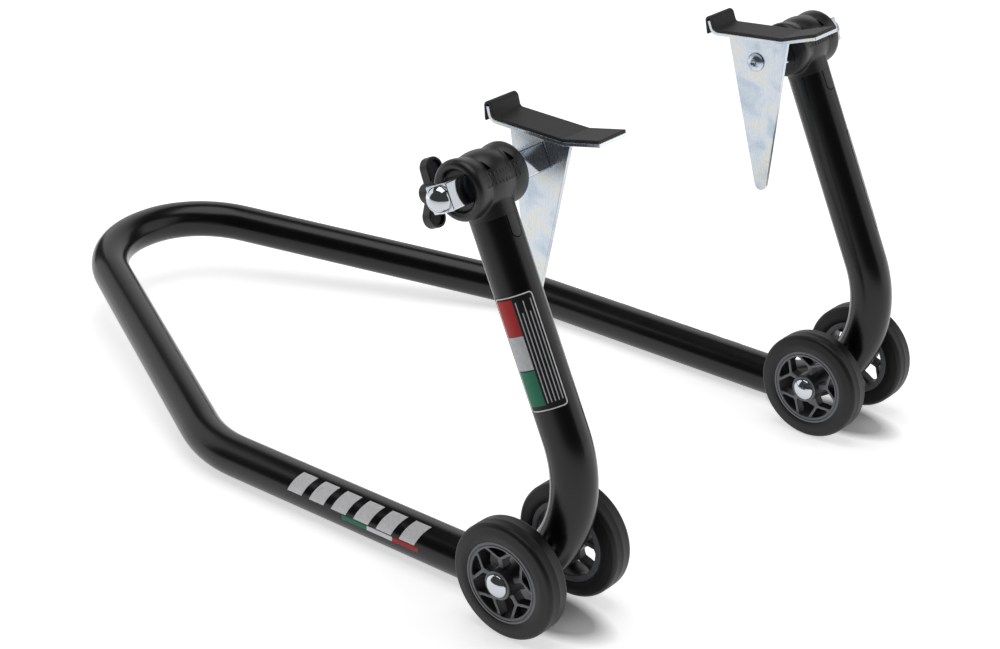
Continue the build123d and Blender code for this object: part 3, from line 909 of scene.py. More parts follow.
tube_mesh = bmesh.new()
swept(tube_mesh, flat_path(half_run + other_half, bends + bends[::-1], 2.5), TUBE_R, 96)
tube = finish_mesh(tube_mesh, "bent_tube", POWDER)
for name, side in SIDES:
    slot_mesh = bmesh.new()
    outline = [(-TONGUE_SLOT / 2, 10), (-TONGUE_SLOT / 2, -TONGUE_LENGTH)]
    outline += arc((0, -TONGUE_LENGTH), TONGUE_SLOT / 2, 180, 360, 16)[1:]
    outline += [(TONGUE_SLOT / 2, 10)]
    stand_up = Matrix(((0, 0, 1, 0), (1, 0, 0, 0), (0, 1, 0, -HEAD_TO_TUBE), (0, 0, 0, 1)))
    prism(slot_mesh, outline, TUBE_R - TONGUE_SLOT_DEPTH, TUBE_R + CUTTER_SPARE, stand_up)
    cut(tube, slot_mesh, leg_frame(side))
all_smooth(tube)
soft_edges(tube, TONGUE_SLOT_EDGE, 2)
belongs(tube, "frame", "tube_paint", "frame_tube")


# ---- thin things wrapped on the tube


def wrapped(mesh, corners, inner, outer, cols, rows):
    """Closed curved patch about Z between two radii; corners are four (degrees, height) pairs."""
    layers = []
    for radius in (outer, inner):
        grid = []
        for row in range(rows + 1):
            line = []
            for col in range(cols + 1):
                u, v = col / cols, row / rows
                low = [corners[0][k] + (corners[1][k] - corners[0][k]) * u for k in (0, 1)]
                high = [corners[3][k] + (corners[2][k] - corners[3][k]) * u for k in (0, 1)]
                angle = math.radians(low[0] + (high[0] - low[0]) * v)
                height = low[1] + (high[1] - low[1]) * v
                line.append(mesh.verts.new((radius * math.cos(angle), radius * math.sin(angle), height)))
            grid.append(line)
        layers.append(grid)
    top, bottom = layers
    for row in range(rows):
        for col in range(cols):
            for grid in layers:
                quad = (grid[row][col], grid[row][col + 1], grid[row + 1][col + 1], grid[row + 1][col])
                mesh.faces.new(quad)
    rim_top = top[0] + [line[-1] for line in top[1:]] + top[-1][-2::-1] + [line[0] for line in top[-2:0:-1]]
    rim_low = bottom[0] + [line[-1] for line in bottom[1:]] + bottom[-1][-2::-1]
    rim_low += [line[0] for line in bottom[-2:0:-1]]
    for number in range(len(rim_top)):
        nxt = (number + 1) % len(rim_top)
        mesh.faces.new((rim_top[number], rim_top[nxt], rim_low[nxt], rim_low[number]))


def patch(middle, wrap, low, high):
    return [
        (middle - wrap / 2, low),
        (middle + wrap / 2, low),
        (middle + wrap / 2, high),
        (middle - wrap / 2, high),
    ]


def rounded_frame(middle, wrap, low, high, inset, width, radius, grow):
    """Outline and inner line of a rounded border on the tube, as (degrees, height) pairs."""
    lines = []
    for step_in in (inset, inset + width):
        half_arc = math.radians(wrap / 2) * grow - step_in
        top, bottom = high - step_in, low + step_in
        bend = max(radius - (step_in - inset), 0.3)
        points = []
        for cx, cz, start in (
            (half_arc - bend, top - bend, 0),
            (-half_arc + bend, top - bend, 90),
            (-half_arc + bend, bottom + bend, 180),
            (half_arc - bend, bottom + bend, 270),
        ):
            points += arc((cx, cz), bend, start, start + 90, 6)
        lines.append(points)
    outer_line, inner_line = lines
    fine = []
    for line in (outer_line, inner_line):
        made = []
        for number, point in enumerate(line):
            nxt = line[(number + 1) % len(line)]
            parts = 24 if math.dist(point, nxt) > 5 else 1
            for part in range(parts):
                made.append([point[k] + (nxt[k] - point[k]) * part / parts for k in (0, 1)])
        fine.append([(middle + math.degrees(x / grow), z) for x, z in made])
    return fine


def border(mesh, outer_line, inner_line, radius, low_radius):
    """Closed ring between two lines on the tube."""
    rings = []
    for line in (outer_line, inner_line):
        for r in (radius, low_radius):
            ring = []
            for degrees, z in line:
                angle = math.radians(degrees)
                ring.append(mesh.verts.new((r * math.cos(angle), r * math.sin(angle), z)))
            rings.append(ring)
    outer_top, outer_low, inner_top, inner_low = rings
    count = len(outer_top)
    for number in range(count):
        nxt = (number + 1) % count
        mesh.faces.new((outer_top[number], outer_top[nxt], inner_top[nxt], inner_top[number]))
        mesh.faces.new((outer_top[number], outer_top[nxt], outer_low[nxt], outer_low[number]))
        mesh.faces.new((inner_top[number], inner_top[nxt], inner_low[nxt], inner_low[number]))
        mesh.faces.new((outer_low[number], outer_low[nxt], inner_low[nxt], inner_low[number]))


def joined(name, objects):
    """One object from several, keeping each one's material."""
    mesh = bmesh.new()
    materials = []
    for obj in objects:
        first = len(mesh.faces)
        mesh.from_mesh(obj.data)
        mesh.faces.ensure_lookup_table()
        slot_number = len(materials)
        materials.append(obj.data.materials[0])
        for face in mesh.faces[first:]:
            face.material_index = slot_number
    data = bpy.data.meshes.new(name)
    mesh.to_mesh(data)
    mesh.free()
    for material in materials:
        data.materials.append(material)
    for obj in objects:
        bpy.data.objects.remove(obj)
    return to_object(name, data)


ON_TUBE = TUBE_R + STICKER_OFF
VINYL = ON_TUBE + VINYL_THICK
INK = VINYL + INK_THICK

for name, side in SIDES:
    place = leg_frame(side)
    pieces = []
    top = -LABEL_DOWN
    bottom = top - LABEL_LENGTH
    back_mesh = bmesh.new()
    wrapped(back_mesh, patch(LABEL_TURN, LABEL_WRAP, bottom, top), ON_TUBE, VINYL, 36, 20)
    pieces.append(finish_mesh(back_mesh, "label_back", BLACK_VINYL, place, sharp=40))
    line_mesh = bmesh.new()
    outer_line, inner_line = rounded_frame(
        LABEL_TURN, LABEL_WRAP, bottom, top, BORDER_INSET, BORDER_W, BORDER_CORNER_R, TUBE_R
    )
    border(line_mesh, outer_line, inner_line, INK, VINYL)
    pieces.append(finish_mesh(line_mesh, "label_border", WHITE_INK, place, sharp=40))
    for low, high, ink in LABEL_BLOCKS:
        block_mesh = bmesh.new()
        wrapped(block_mesh, patch(BLOCK_TURN, BLOCK_WRAP, -high, -low), VINYL, INK, 16, 4)
        pieces.append(finish_mesh(block_mesh, "label_block", INKS[ink], place, sharp=40))
    for number in range(RULE_COUNT):
        rule_mesh = bmesh.new()
        rule_turn = RULE_FROM + number * RULE_PITCH
        rule_top = top - RULE_MARGIN - RULE_SHORTER * (number % 2)
        wrapped(rule_mesh, patch(rule_turn, RULE_WRAP, bottom + RULE_MARGIN, rule_top), VINYL, INK, 2, 16)
        pieces.append(finish_mesh(rule_mesh, "label_rule", SILVER_INK, place, sharp=40))
    label = joined(name + "_label", pieces)
    belongs(label, "frame", "sticker", name + "_upright_label")

arm_way = (foot_at - knee_at).normalized()
axle_x = Vector(joints["left_outer_wheel_turn"]["pos_m"]).x / MM


def arm_frame(side):
    """X straight up, Y outwards, Z forwards along the arm, from the point over the axle."""
    start = foot_at + arm_way * ((axle_x - foot_at.x) / arm_way.x)
    forwards = Vector((arm_way.x, side * arm_way.y, arm_way.z))
    turn = Matrix(((0, 0, 1), (0, side, 0), forwards)).transposed().to_4x4()
    return Matrix.Translation(Vector((start.x, side * start.y, start.z)) * MM) @ turn


for name, side in SIDES:
    place = arm_frame(side)
    pieces = []
    fall = TUBE_R * math.tan(math.radians(STRIPE_SLANT)) * math.radians(STRIPE_WRAP)
    for number in range(STRIPE_COUNT):
        at = -STRIPES_FROM_AXLE - number * STRIPE_PITCH
        low_turn = STRIPE_TURN - STRIPE_WRAP / 2
        high_turn = STRIPE_TURN + STRIPE_WRAP / 2
        corners = [
            (low_turn, at - STRIPE_W / 2 + fall / 2),
            (high_turn, at - STRIPE_W / 2 - fall / 2),
            (high_turn, at + STRIPE_W / 2 - fall / 2),
            (low_turn, at + STRIPE_W / 2 + fall / 2),
        ]
        stripe_mesh = bmesh.new()
        wrapped(stripe_mesh, corners, ON_TUBE, VINYL, 18, 4)
        pieces.append(finish_mesh(stripe_mesh, "stripe", WHITE_INK, place, sharp=40))
    third = BAND_LENGTH / 3
    for number, ink in enumerate(("red", "white", "green")):
        front = -BAND_FROM_AXLE - number * third
        band_mesh = bmesh.new()
        wrapped(band_mesh, patch(BAND_TURN, BAND_WRAP, front - third + BAND_GAP, front), ON_TUBE, VINYL, 5, 4)
        pieces.append(finish_mesh(band_mesh, "band", INKS[ink], place, sharp=40))
    marks = joined(name + "_stripes", pieces)
    belongs(marks, "frame", "arm_print", name + "_arm_marks")


# ---- clamp heads, moulded in one

head_half = HEAD_LENGTH / 2


lobe_half = CREST_SPACING / 2
lobe_r = (lobe_half**2 + HEAD_WAIST**2 / 4) / HEAD_WAIST


def swelling_r(y):
    """Radius of the head's body at a distance from its middle: three lobes meeting in creases."""
    along = (y + lobe_half) % CREST_SPACING - lobe_half
    return HEAD_D / 2 - lobe_r + math.sqrt(lobe_r**2 - along**2)


lip_from = CREST_SPACING - LIP_START
lip_length = head_half - lip_from
dish_floor = head_half - DISH_DEPTH - DISH_SOFTENING
body_profile = [(0, -head_half)]
for step in range(7):
    a = math.radians(15 * step)
    rolled = HEAD_D / 2 - HEAD_LIP * (1 - math.sin(a))
    body_profile.append((rolled, -head_half + lip_length * (1 - math.cos(a))))
body_profile += [(swelling_r(y), y) for y in range(-SWELLING_TO, SWELLING_TO + 1)]
# the outer lobe rolls over into the dish round the bar
for step in range(13):
    a = math.radians(15 * step)
    rolled = HEAD_D / 2 - HEAD_LIP * (1 - math.cos(a))
    body_profile.append((rolled, lip_from + lip_length * math.sin(a)))
body_profile += [(DISH_D / 2 - DISH_WALL_LEAN, dish_floor), (0, dish_floor)]

head_mesh = bmesh.new()
lathe(head_mesh, body_profile, 120, "Y")
neck_low = -HEAD_TO_TUBE - NECK_SPARE
lathe(head_mesh, [(0, neck_low), (TUBE_R, neck_low), (TUBE_R, 0), (0, 0)], 120)
boss_r = BOSS_D / 2
boss_profile = [
    (0, BOSS_FROM),
    (boss_r + BOSS_ROOT_FLARE, BOSS_FROM),
    (boss_r + BOSS_SKIN_FLARE, BOSS_SKIN_AT),
    (boss_r, BOSS_STRAIGHT_FROM),
    (boss_r, BOSS_REACH),
    (0, BOSS_REACH),
]
boss = lathe(head_mesh, boss_profile, 72)
bmesh.ops.transform(head_mesh, matrix=Matrix.Rotation(-math.pi / 2, 4, "Y"), verts=boss)
head = moulded(head_mesh, "clamp_head", HEAD_GRAIN, HEAD_ROUNDS)

tools = bmesh.new()
half_hole = BAR_SIZE / 2 + BAR_FIT
square = [(-half_hole, -half_hole), (half_hole, -half_hole), (half_hole, half_hole), (-half_hole, half_hole)]
prism(tools, square, -HEAD_LENGTH, HEAD_LENGTH, Matrix.Rotation(-math.pi / 2, 4, "X"))
cut(head, tools)
tools = bmesh.new()
bore_end = BOSS_REACH + CUTTER_SPARE
bore = lathe(tools, [(0, BORE_FROM), (INSERT_D / 2, BORE_FROM), (INSERT_D / 2, bore_end), (0, bore_end)], 64)
bmesh.ops.transform(tools, matrix=Matrix.Rotation(-math.pi / 2, 4, "Y"), verts=bore)
cut(head, tools)
tools = bmesh.new()
wide = HEAD_LENGTH
prism(tools, [(-wide, -wide), (wide, -wide), (wide, wide), (-wide, wide)], -2 * HEAD_LENGTH, -HEAD_TO_TUBE)
cut(head, tools)
for notch_y in NOTCH_AT:
    tools = bmesh.new()
    flat = [(-NOTCH_LENGTH, 0), (0, NOTCH_W / 2), (0, -NOTCH_W / 2)]
    at = Matrix.Translation((0, notch_y, HEAD_D / 2 - NOTCH_DEPTH))
    prism(tools, flat, 0, NOTCH_DEPTH * 3, Matrix.Rotation(math.radians(NOTCH_TURN), 4, "Y") @ at)
    cut(head, tools)

# a row of plain raised ribs round the front of the head
ribs = bmesh.new()
for number in range(RIB_COUNT):
    rib_y = RIB_FROM + number * RIB_PITCH
    rib_r = swelling_r(rib_y) + RIB_RISE
    made = prism(ribs, slot_outline((-RIB_LENGTH / 2, 0), (RIB_LENGTH / 2, 0), RIB_W / 2, 5), -RIB_ROOT, 0)
    for vert in made:
        vert.co.z += rib_r - vert.co.x**2 / (2 * rib_r)
    at = Matrix.Rotation(math.radians(RIB_TURN), 4, "Y") @ Matrix.Translation((0, rib_y, 0))
    bmesh.ops.transform(ribs, matrix=at, verts=made)
rib_row = finish_mesh(ribs, "ribs", NYLON, sharp=40)

tongue_mesh = bmesh.new()
rows = 24
cols = 8
for radius in (TUBE_R + TONGUE_RISE, TUBE_R - TONGUE_SINK):
    grid = []
    for row in range(rows + 1):
        z = -(TONGUE_LENGTH + TONGUE_W / 2) * row / rows
        past = max(0.0, -z - TONGUE_LENGTH)
        half = math.sqrt(max(TONGUE_W**2 / 4 - past**2, TONGUE_TIP_HALF**2))
        line = []
        for col in range(cols + 1):
            y = -half + 2 * half * col / cols
            line.append(tongue_mesh.verts.new((math.sqrt(radius**2 - y**2), y, z - HEAD_TO_TUBE)))
        grid.append(line)
    for upper, lower in zip(grid, grid[1:]):
        for col in range(cols):
            tongue_mesh.faces.new((upper[col], upper[col + 1], lower[col + 1], lower[col]))
edges = [edge for edge in tongue_mesh.edges if edge.is_boundary]
bmesh.ops.bridge_loops(tongue_mesh, edges=edges)
tongue = finish_mesh(tongue_mesh, "tongue", NYLON, sharp=40)

head.data.materials.append(NYLON)
head_pair = joined("head_master", [head, tongue, rib_row])
for name, side in SIDES:
    placed = copy_of(head_pair, name + "_clamp_head_moulding", leg_frame(side))
    all_smooth(placed)
    soft_edges(placed, HEAD_EDGE)
    belongs(placed, "frame", "moulded_black", name + "_clamp_head")
bpy.data.objects.remove(head_pair)


# ---- wings of the clamp screws

wing_low = WING_REACH - WING_THICK / 2
hub_low = wing_low - WING_HUB_DROP
ear_at = (WING_SPAN - WING_EAR_D) / 2
wing_mesh = bmesh.new()
ear_r = WING_EAR_D / 2
wing_high = wing_low + WING_THICK


def teardrop(sign, radius, root, root_half):
    """Outline of one ear: a round end drawn in to a narrow root near the hub."""
    pull = math.degrees(math.asin((radius - root_half) / (ear_at - root)))
    points = arc((ear_at, 0), radius, -90 - pull, 90 + pull, 20)
    points += [(root, root_half), (root, -root_half)]
    return [(sign * x, y) for x, y in points]


for sign in (-1, 1):
    prism(wing_mesh, teardrop(sign, ear_r, WING_ROOT, WING_WEB / 2), wing_low, wing_high)
wing_hub_r = WING_HUB_D / 2
hub_high = hub_low + WING_HUB_LENGTH
hub_profile = [
    (0, hub_low),
    (wing_hub_r, hub_low),
    (wing_hub_r, hub_high - WING_HUB_EDGE),
    (wing_hub_r - WING_HUB_EDGE, hub_high),
    (0, hub_high),
]
lathe(wing_mesh, hub_profile, 64)
wing = moulded(wing_mesh, "wing", WING_GRAIN, WING_ROUNDS)
pocket = {"radius": ear_r - WING_RIM_W, "root": wing_hub_r + POCKET_FROM_HUB, "root_half": POCKET_ROOT_HALF}
for sign in (-1, 1):
    for low, high in (
        (wing_low - CUTTER_SPARE, wing_low + WING_POCKET),
        (wing_high - WING_POCKET, wing_high + CUTTER_SPARE),
    ):
        tools = bmesh.new()
        prism(tools, teardrop(sign, **pocket), low, high)
        cut(wing, tools)
wing.data.materials.append(NYLON)
for name, side in SIDES:
    turn = math.radians(WING_TURN[name])
    place = leg_frame(side) @ Matrix.Rotation(-turn, 4, "X") @ Matrix.Rotation(-math.pi / 2, 4, "Y")
    placed = copy_of(wing, name + "_wing_moulding", place)
    all_smooth(placed)
    soft_edges(placed, WING_EDGE)
    belongs(placed, name + "_clamp_screw", "moulded_black", name + "_wing")
bpy.data.objects.remove(wing)


# ---- sliding bars, cap nuts and through bolts

bar_inner = -PLATE_IN + PLATE_THICK / 2 + PLATE_GAP
head_seat = -PLATE_IN - PLATE_THICK / 2 - PLATE_GAP
half_bar = BAR_SIZE / 2
bar_outline = []
for cx, cy, start in ((1, 1, 0), (-1, 1, 90), (-1, -1, 180), (1, -1, 270)):
    corner = (cx * (half_bar - BAR_EDGE), cy * (half_bar - BAR_EDGE))
    bar_outline += arc(corner, BAR_EDGE, start, start + 90, 5)


def dome_profile(radius, rise, rim, lip):
    """Side view of a dome on a short rim, its lower edge broken by a small lip."""
    ball = (radius**2 + rise**2) / (2 * rise)
    reach = math.asin(radius / ball)
    points = [(0, 0), (radius - lip, 0), (radius, lip), (radius, rim)]
    for step in range(1, 13):
        angle = reach * (1 - step / 12)
        points.append((ball * math.sin(angle), rim + rise - ball + ball * math.cos(angle)))
    points[-1] = (0, rim + rise)
    return points


for name, side in SIDES:
    place = leg_frame(side)
    bar_mesh = bmesh.new()
    prism(bar_mesh, bar_outline, bar_inner, BAR_OUTER_END, Matrix.Rotation(-math.pi / 2, 4, "X"))
    bar = finish_mesh(bar_mesh, name + "_square_bar", CHROME, place)
    all_smooth(bar)
    soft_edges(bar, BAR_END_EDGE)
    belongs(bar, name + "_bar_group", "chrome", name + "_bar")

    nut_mesh = bmesh.new()
    made = lathe(nut_mesh, dome_profile(NUT_D / 2, NUT_RISE, NUT_RIM, NUT_LIP), 96, "Y")
    bmesh.ops.translate(nut_mesh, verts=made, vec=(0, BAR_OUTER_END, 0))
    nut = finish_mesh(nut_mesh, name + "_cap_nut", CHROME, place, sharp=50)
    belongs(nut, name + "_bar_group", "chrome", name + "_bar_nut")

    bolt_mesh = bmesh.new()
    head_dome = dome_profile(BOLT_HEAD_D / 2, BOLT_HEAD_RISE - BOLT_HEAD_RIM, BOLT_HEAD_RIM, BOLT_HEAD_LIP)
    made = lathe(bolt_mesh, head_dome, 96, "Y")
    flip = Matrix.Translation((0, head_seat, 0)) @ Matrix.Scale(-1, 4, (0, 1, 0))
    bmesh.ops.transform(bolt_mesh, matrix=flip, verts=made)
    shank_r = BOLT_D / 2
    shank_from = -PLATE_IN - SHANK_SPARE
    shank_to = BAR_OUTER_END + SHANK_SPARE
    lathe(bolt_mesh, [(0, shank_from), (shank_r, shank_from), (shank_r, shank_to), (0, shank_to)], 48, "Y")
    bolt = finish_mesh(bolt_mesh, name + "_through_bolt", ZINC, place, sharp=50)
    tools = bmesh.new()
    six = arc((0, 0), HEX_SIZE / math.sqrt(3), 0, 300, 5)
    seat = head_seat - BOLT_HEAD_RISE
    prism(tools, six, seat - CUTTER_SPARE, seat + HEX_DEPTH, Matrix.Rotation(-math.pi / 2, 4, "X"))
    cut(bolt, tools, place)
    belongs(bolt, name + "_bar_group", "zinc", name + "_bar_bolt")


# ---- hanging supports: plate, bent cradle strip and rubber cover


def side_path(corners, radii, step=10):
    """Flat line of (x, z) points with rounded corners."""
    points = flat_path([Vector((x, 0, z)) for x, z in corners], radii, step)
    return [(point.x, point.z) for point in points]


def cradle_line(height, step=10):
    """Side view of the bent strip at one height above its underside, from the lip's top."""
    nose = math.radians(CRADLE_NOSE_RISE)
    lip = math.radians(CRADLE_LIP_LEAN)
    nose_mitre = height * math.tan(nose / 2)
    lip_mitre = height * math.tan((math.pi / 2 - lip) / 2)
    z = PLATE_TOP + height
    lip_corner = (-CRADLE_BACK + lip_mitre, z)
    nose_corner = (CRADLE_FRONT - nose_mitre, z)
    lip_run = CRADLE_LIP - lip_mitre
    nose_run = CRADLE_NOSE - nose_mitre
    lip_end = (lip_corner[0] - math.sin(lip) * lip_run, lip_corner[1] + math.cos(lip) * lip_run)
    nose_end = (nose_corner[0] + math.cos(nose) * nose_run, nose_corner[1] + math.sin(nose) * nose_run)
    radius = CRADLE_BEND_R + CRADLE_THICK + RUBBER_THICK - height
    return side_path([lip_end, lip_corner, nose_corner, nose_end], [radius, radius], step)


flank = math.atan2(PLATE_TOP_W / 2 - PLATE_TIP_R, PLATE_TOP + PLATE_TIP - PLATE_TIP_R)
plate_outline = [(PLATE_OFFSET - PLATE_TOP_W / 2, PLATE_TOP), (PLATE_OFFSET + PLATE_TOP_W / 2, PLATE_TOP)]
plate_outline += arc((PLATE_OFFSET, -(PLATE_TIP - PLATE_TIP_R)), PLATE_TIP_R,
                     -math.degrees(flank), -180 + math.degrees(flank), 14)
strip_outline = cradle_line(0) + cradle_line(CRADLE_THICK)[::-1]

lip_lean = math.radians(CRADLE_LIP_LEAN)
low_end, high_end = cradle_line(0)[0], cradle_line(CRADLE_THICK)[0]
lip_top = ((low_end[0] + high_end[0]) / 2, (low_end[1] + high_end[1]) / 2)
cover_r = CRADLE_THICK / 2 + RUBBER_THICK


def by_lip(x, z):
    """Point by the lip: x towards the front, z up along the lip, from its top."""
    return (lip_top[0] + x * math.cos(lip_lean) - z * math.sin(lip_lean),
            lip_top[1] + x * math.sin(lip_lean) + z * math.cos(lip_lean))


over = [by_lip(*point) for point in arc((0, 0), cover_r, 0, 180, 15)]
under = [by_lip(*point) for point in arc((0, 0), CRADLE_THICK / 2, 180, 0, 9)]
hook_x = -cover_r - HOOK_FLARE
hook_end = [
    (hook_x, -RUBBER_HOOK + 2 * HOOK_CORNER),
    (hook_x + HOOK_CORNER, -RUBBER_HOOK),
    (hook_x + HOOK_THICK, -RUBBER_HOOK),
    (hook_x + HOOK_THICK + 0.8 * HOOK_CORNER, -RUBBER_HOOK + 1.6 * HOOK_CORNER),
]
cover_outline = cradle_line(CRADLE_THICK + RUBBER_THICK)[1:][::-1] + over
cover_outline += [by_lip(*point) for point in hook_end]
cover_outline += under + cradle_line(CRADLE_THICK)[1:]

stand = Matrix.Rotation(math.pi / 2, 4, "X")


def across(mesh, outline, width):
    """Prism over a side view, centred on the plate, standing across it."""
    return prism(mesh, outline, -width / 2, width / 2, stand)


for name, side in SIDES:
    place = support_frame(name, side)
    plate_mesh = bmesh.new()
    across(plate_mesh, plate_outline, PLATE_THICK)
    plate = finish_mesh(plate_mesh, name + "_side_plate", ZINC, place)
    tools = bmesh.new()
    hole_r = BOLT_D / 2 + BOLT_FIT
    through = PLATE_THICK + CUTTER_SPARE
    lathe(tools, [(0, -through), (hole_r, -through), (hole_r, through), (0, through)], 48, "Y")
    cut(plate, tools, place)
    all_smooth(plate)
    soft_edges(plate, SHEET_EDGE)
    belongs(plate, name + "_support", "zinc", name + "_plate")

    strip_mesh = bmesh.new()
    across(strip_mesh, strip_outline, CRADLE_W)
    strip = finish_mesh(strip_mesh, name + "_bent_strip", ZINC, place)
    all_smooth(strip)
    soft_edges(strip, SHEET_EDGE)
    belongs(strip, name + "_support", "zinc", name + "_cradle")

    cover_mesh = bmesh.new()
    across(cover_mesh, cover_outline, CRADLE_W - 2 * COVER_INSET)
    cover = finish_mesh(cover_mesh, name + "_rubber_cover", PAD, place)
    all_smooth(cover)
    soft_edges(cover, RUBBER_EDGE)
    belongs(cover, name + "_support", "pad_rubber", name + "_pad")


# ---- wheels: one rim and one tyre, each used four times

rim_half = WHEEL_W / 2 - RIM_INSET
ring_r = RIM_D / 2
ring_in = ring_r - RIM_RING_W
groove_r = ring_r - RIM_RING_W / 2
hub_half = HUB_LENGTH / 2


def flat_bar(mesh, start, end, width):
    """Round-ended bar between two points whose top falls towards the hub."""
    made = prism(mesh, slot_outline(start, end, width / 2), 0, 1)
    for vert in made:
        share = min(1.0, math.hypot(vert.co.x, vert.co.y) / ring_in)
        top = spoke_top - SPOKE_FALL * (1 - share)
        vert.co.z = top if vert.co.z > 0.5 else top - SPOKE_DEPTH
    return made


rim_mesh = bmesh.new()
ring_profile = [
    (ring_in, -rim_half),
    (ring_r + RIM_UNDER_TYRE, -rim_half),
    (ring_r + RIM_UNDER_TYRE, rim_half - RIM_EDGE),
    (ring_r - 0.2, rim_half),
    (ring_in + RIM_EDGE, rim_half),
    (ring_in, rim_half - RIM_EDGE),
]
lathe(rim_mesh, ring_profile, 120)
hub_r = HUB_D / 2
hub_profile = [
    (BUSH_D / 2, -hub_half),
    (hub_r, -hub_half),
    (hub_r, hub_half - HUB_EDGE),
    (hub_r - HUB_EDGE, hub_half),
    (BUSH_D / 2, hub_half),
]
lathe(rim_mesh, hub_profile, 96)
fork = (SPOKE_FORK_R, 0)
fork_r = ring_in + SPOKE_ROOT
spread = math.radians(SPOKE_FORK_ANGLE)
spoke_top = rim_half - SPOKE_BELOW_FACE
for number in range(SPOKES):
    bars = flat_bar(rim_mesh, (hub_r - SPOKE_ROOT, 0), fork, SPOKE_STEM_W)
    for way in (-1, 1):
        end = (fork_r * math.cos(spread), way * fork_r * math.sin(spread))
        bars += flat_bar(rim_mesh, fork, end, SPOKE_W)
    turn = Matrix.Rotation(2 * math.pi * number / SPOKES, 4, "Z")
    bmesh.ops.transform(rim_mesh, matrix=turn, verts=bars)
rim = moulded(rim_mesh, "rim", RIM_GRAIN, RIM_ROUNDS)
tools = bmesh.new()
groove_profile = [
    (groove_r - GROOVE_W / 2, rim_half + 1),
    (groove_r - GROOVE_W / 2, rim_half - GROOVE_EDGE),
    (groove_r, rim_half - GROOVE_DEPTH),
    (groove_r + GROOVE_W / 2, rim_half - GROOVE_EDGE),
    (groove_r + GROOVE_W / 2, rim_half + 1),
]
lathe(tools, groove_profile, 120)
cut(rim, tools)
rim.data.materials.append(RIM)

tread_r = WHEEL_D / 2
tyre_half = WHEEL_W / 2
tread_half = tyre_half - TYRE_FLANK_FALL
bead_r = ring_r + BEAD_EDGE
tyre_profile = [(ring_r, -tyre_half + BEAD_EDGE), (bead_r, -tyre_half), (TYRE_FLANK_R, -tyre_half)]
tyre_profile += arc((tread_r - TREAD_EDGE_R, -tread_half + TREAD_EDGE_R), TREAD_EDGE_R, -90, 0, 12)
tyre_profile += [(tread_r, -SEAM_W / 2), (tread_r + SEAM_RISE, 0), (tread_r, SEAM_W / 2)]
tyre_profile += arc((tread_r - TREAD_EDGE_R, tread_half - TREAD_EDGE_R), TREAD_EDGE_R, 0, 90, 12)
tyre_profile += [(TYRE_FLANK_R, tyre_half), (bead_r, tyre_half), (ring_r, tyre_half - BEAD_EDGE)]
tyre_mesh = bmesh.new()
lathe(tyre_mesh, tyre_profile, 144)
tyre = finish_mesh(tyre_mesh, "tyre", TYRE, sharp=60)

cap_mesh = bmesh.new()
lathe(cap_mesh, dome_profile(CAP_D / 2, CAP_RISE, CAP_RIM, CAP_LIP), 96)
cap = finish_mesh(cap_mesh, "cap", CHROME, sharp=50)

for name, side in SIDES:
    caps = []
    for place_name in ("outer", "inner"):
        body = name + "_" + place_name + "_wheel"
        place = wheel_frame(name, place_name, side)
        placed = copy_of(rim, body + "_spoked_rim", place)
        all_smooth(placed)
        belongs(placed, body, "rim_plastic", name + "_" + place_name + "_rim")
        placed = copy_of(tyre, body + "_tread", place)
        belongs(placed, body, "tyre_rubber", name + "_" + place_name + "_tyre")
        caps.append(copy_of(cap, "cap", place @ Matrix.Translation((0, 0, (hub_half + END_FLOAT) * MM))))
    pair = joined(name + "_dome_caps", caps)
    belongs(pair, "frame", "chrome", name + "_axle_caps")
for master in (rim, tyre, cap):
    bpy.data.objects.remove(master)


# ---- plain turned pieces keep their drawn shape

for node_name, obj in frame["nodes"].items():
    for ending, material in (
        ("_clamp_insert", BRASS),
        ("_axle", STEEL),
        ("_spacers", STEEL),
        ("_stud", STEEL),
        ("_bush", STEEL),
    ):
        if node_name.endswith(ending):
            obj.data.materials.clear()
            obj.data.materials.append(material)


# ---- floor, light and camera

floor_mesh = bmesh.new()
for corner in ((-6, -6), (6, -6), (6, 6), (-6, 6)):
    floor_mesh.verts.new((corner[0], corner[1], -0.0003))
floor_mesh.faces.new(floor_mesh.verts)
floor_data = bpy.data.meshes.new("studio_floor")
floor_mesh.to_mesh(floor_data)
floor_mesh.free()
floor = to_object("studio_floor", floor_data)
paper, tree, shader = start_material("white_studio_paper", "#f4f4f4", 0.0, 0.9)
where = node(tree, "ShaderNodeTexCoord")
fibre = node(tree, "ShaderNodeTexNoise", {"Scale": 90.0}, {"Vector": where.outputs["Object"]})
paper_tone = node(
    tree,
    "ShaderNodeValToRGB",
    links={"Fac": fibre.outputs["Fac"]},
    stops=((0.3, "#f3f3f3"), (0.7, "#f6f6f6")),
)
tree.links.new(paper_tone.outputs["Color"], shader.inputs["Base Color"])
shader.inputs["Emission Color"].default_value = (1, 1, 1, 1)
# painted shadow: the paper's glow is turned down under each foot, between its two wheels, where the stand's
# own shadow falls
spot = node(tree, "ShaderNodeTexCoord").outputs["Object"]
apart = node(tree, "ShaderNodeSeparateXYZ", links={"Vector": spot})
sideways = node(tree, "ShaderNodeMath", {"operation": "ABSOLUTE"}, {0: apart.outputs["Y"]})
folded = node(tree, "ShaderNodeCombineXYZ", links={"X": apart.outputs["X"], "Y": sideways.outputs["Value"]})
from_foot = node(
    tree,
    "ShaderNodeVectorMath",
    {"operation": "SUBTRACT", 1: (axle_x * MM, leg_y, 0)},
    {0: folded.outputs["Vector"]},
)
shared = node(
    tree,
    "ShaderNodeVectorMath",
    {"operation": "DIVIDE", 1: (FOOT_SHADE_LENGTH / 2 * MM, FOOT_SHADE_W / 2 * MM, 1)},
    {0: from_foot.outputs["Vector"]},
)
away = node(tree, "ShaderNodeVectorMath", {"operation": "LENGTH"}, {0: shared.outputs["Vector"]})
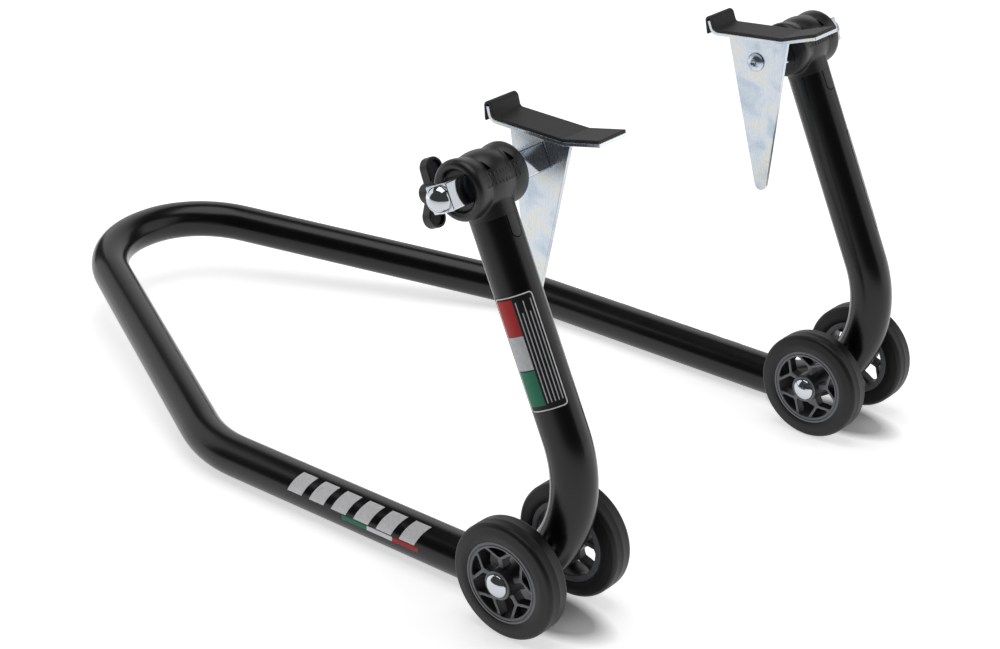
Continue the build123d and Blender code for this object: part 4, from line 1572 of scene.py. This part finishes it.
# painted shadow: the glow falls almost to nothing inside each foot's ellipse
glow = node(
    tree,
    "ShaderNodeMapRange",
    {"From Min": 0.75, "From Max": 1.15, "To Min": 0.02, "To Max": FLOOR_GLOW},
    {"Value": away.outputs["Value"]},
)
tree.links.new(glow.outputs["Result"], shader.inputs["Emission Strength"])
floor_data.materials.append(paper)

world = bpy.data.worlds.new("studio")
bpy.context.scene.world = world
world.use_nodes = True
sky = world.node_tree
background = sky.nodes["Background"]
background.inputs["Color"].default_value = (1, 1, 1, 1)
background.inputs["Strength"].default_value = WORLD_LIGHT


def soft_box(name, at, aim, width, height, watts):
    """Rectangular soft light at a point, aimed at another."""
    data = bpy.data.lights.new(name, "AREA")
    data.shape = "RECTANGLE"
    data.size = width
    data.size_y = height
    data.energy = watts
    light = bpy.data.objects.new(name, data)
    bpy.context.scene.collection.objects.link(light)
    light.location = at
    light.rotation_mode = "QUATERNION"
    light.rotation_quaternion = (Vector(aim) - Vector(at)).to_track_quat("-Z", "Y")
    light.visible_camera = False
    return light


right_hand = Vector((0.766, 0.642, 0))
towards = Vector((0.642, -0.766, 0))
centre = Vector((0.1, 0, 0.15))
left_place = centre - right_hand * 1.85 - towards * 0.65 + Vector((0, 0, 0.7))
soft_box("left_wall", left_place, centre, 1.5, 1.8, LEFT_LIGHT)
soft_box("right_wall", centre + right_hand * 1.9 + Vector((0, 0, 0.7)), centre, 2.2, 1.8, RIGHT_LIGHT)
soft_box("back_wall", centre - towards * 2.2 + Vector((0, 0, 0.9)), centre, 3.0, 1.6, BACK_LIGHT)
soft_box("overhead", centre + Vector((0, 0, 2.2)), centre, 1.8, 1.8, TOP_LIGHT)

lens = bpy.data.cameras.new("product_camera")
lens.lens = 76.94
lens.sensor_width = 36.0
camera = bpy.data.objects.new("product_camera", lens)
bpy.context.scene.collection.objects.link(camera)
camera.location = (1.2592, -1.3637, 0.9472)
aim = Vector((0.1165, 0.0, 0.1055))
camera.rotation_mode = "QUATERNION"
camera.rotation_quaternion = (aim - camera.location).to_track_quat("-Z", "Y")
bpy.context.scene.camera = camera
bpy.context.scene.view_settings.view_transform = "Standard"
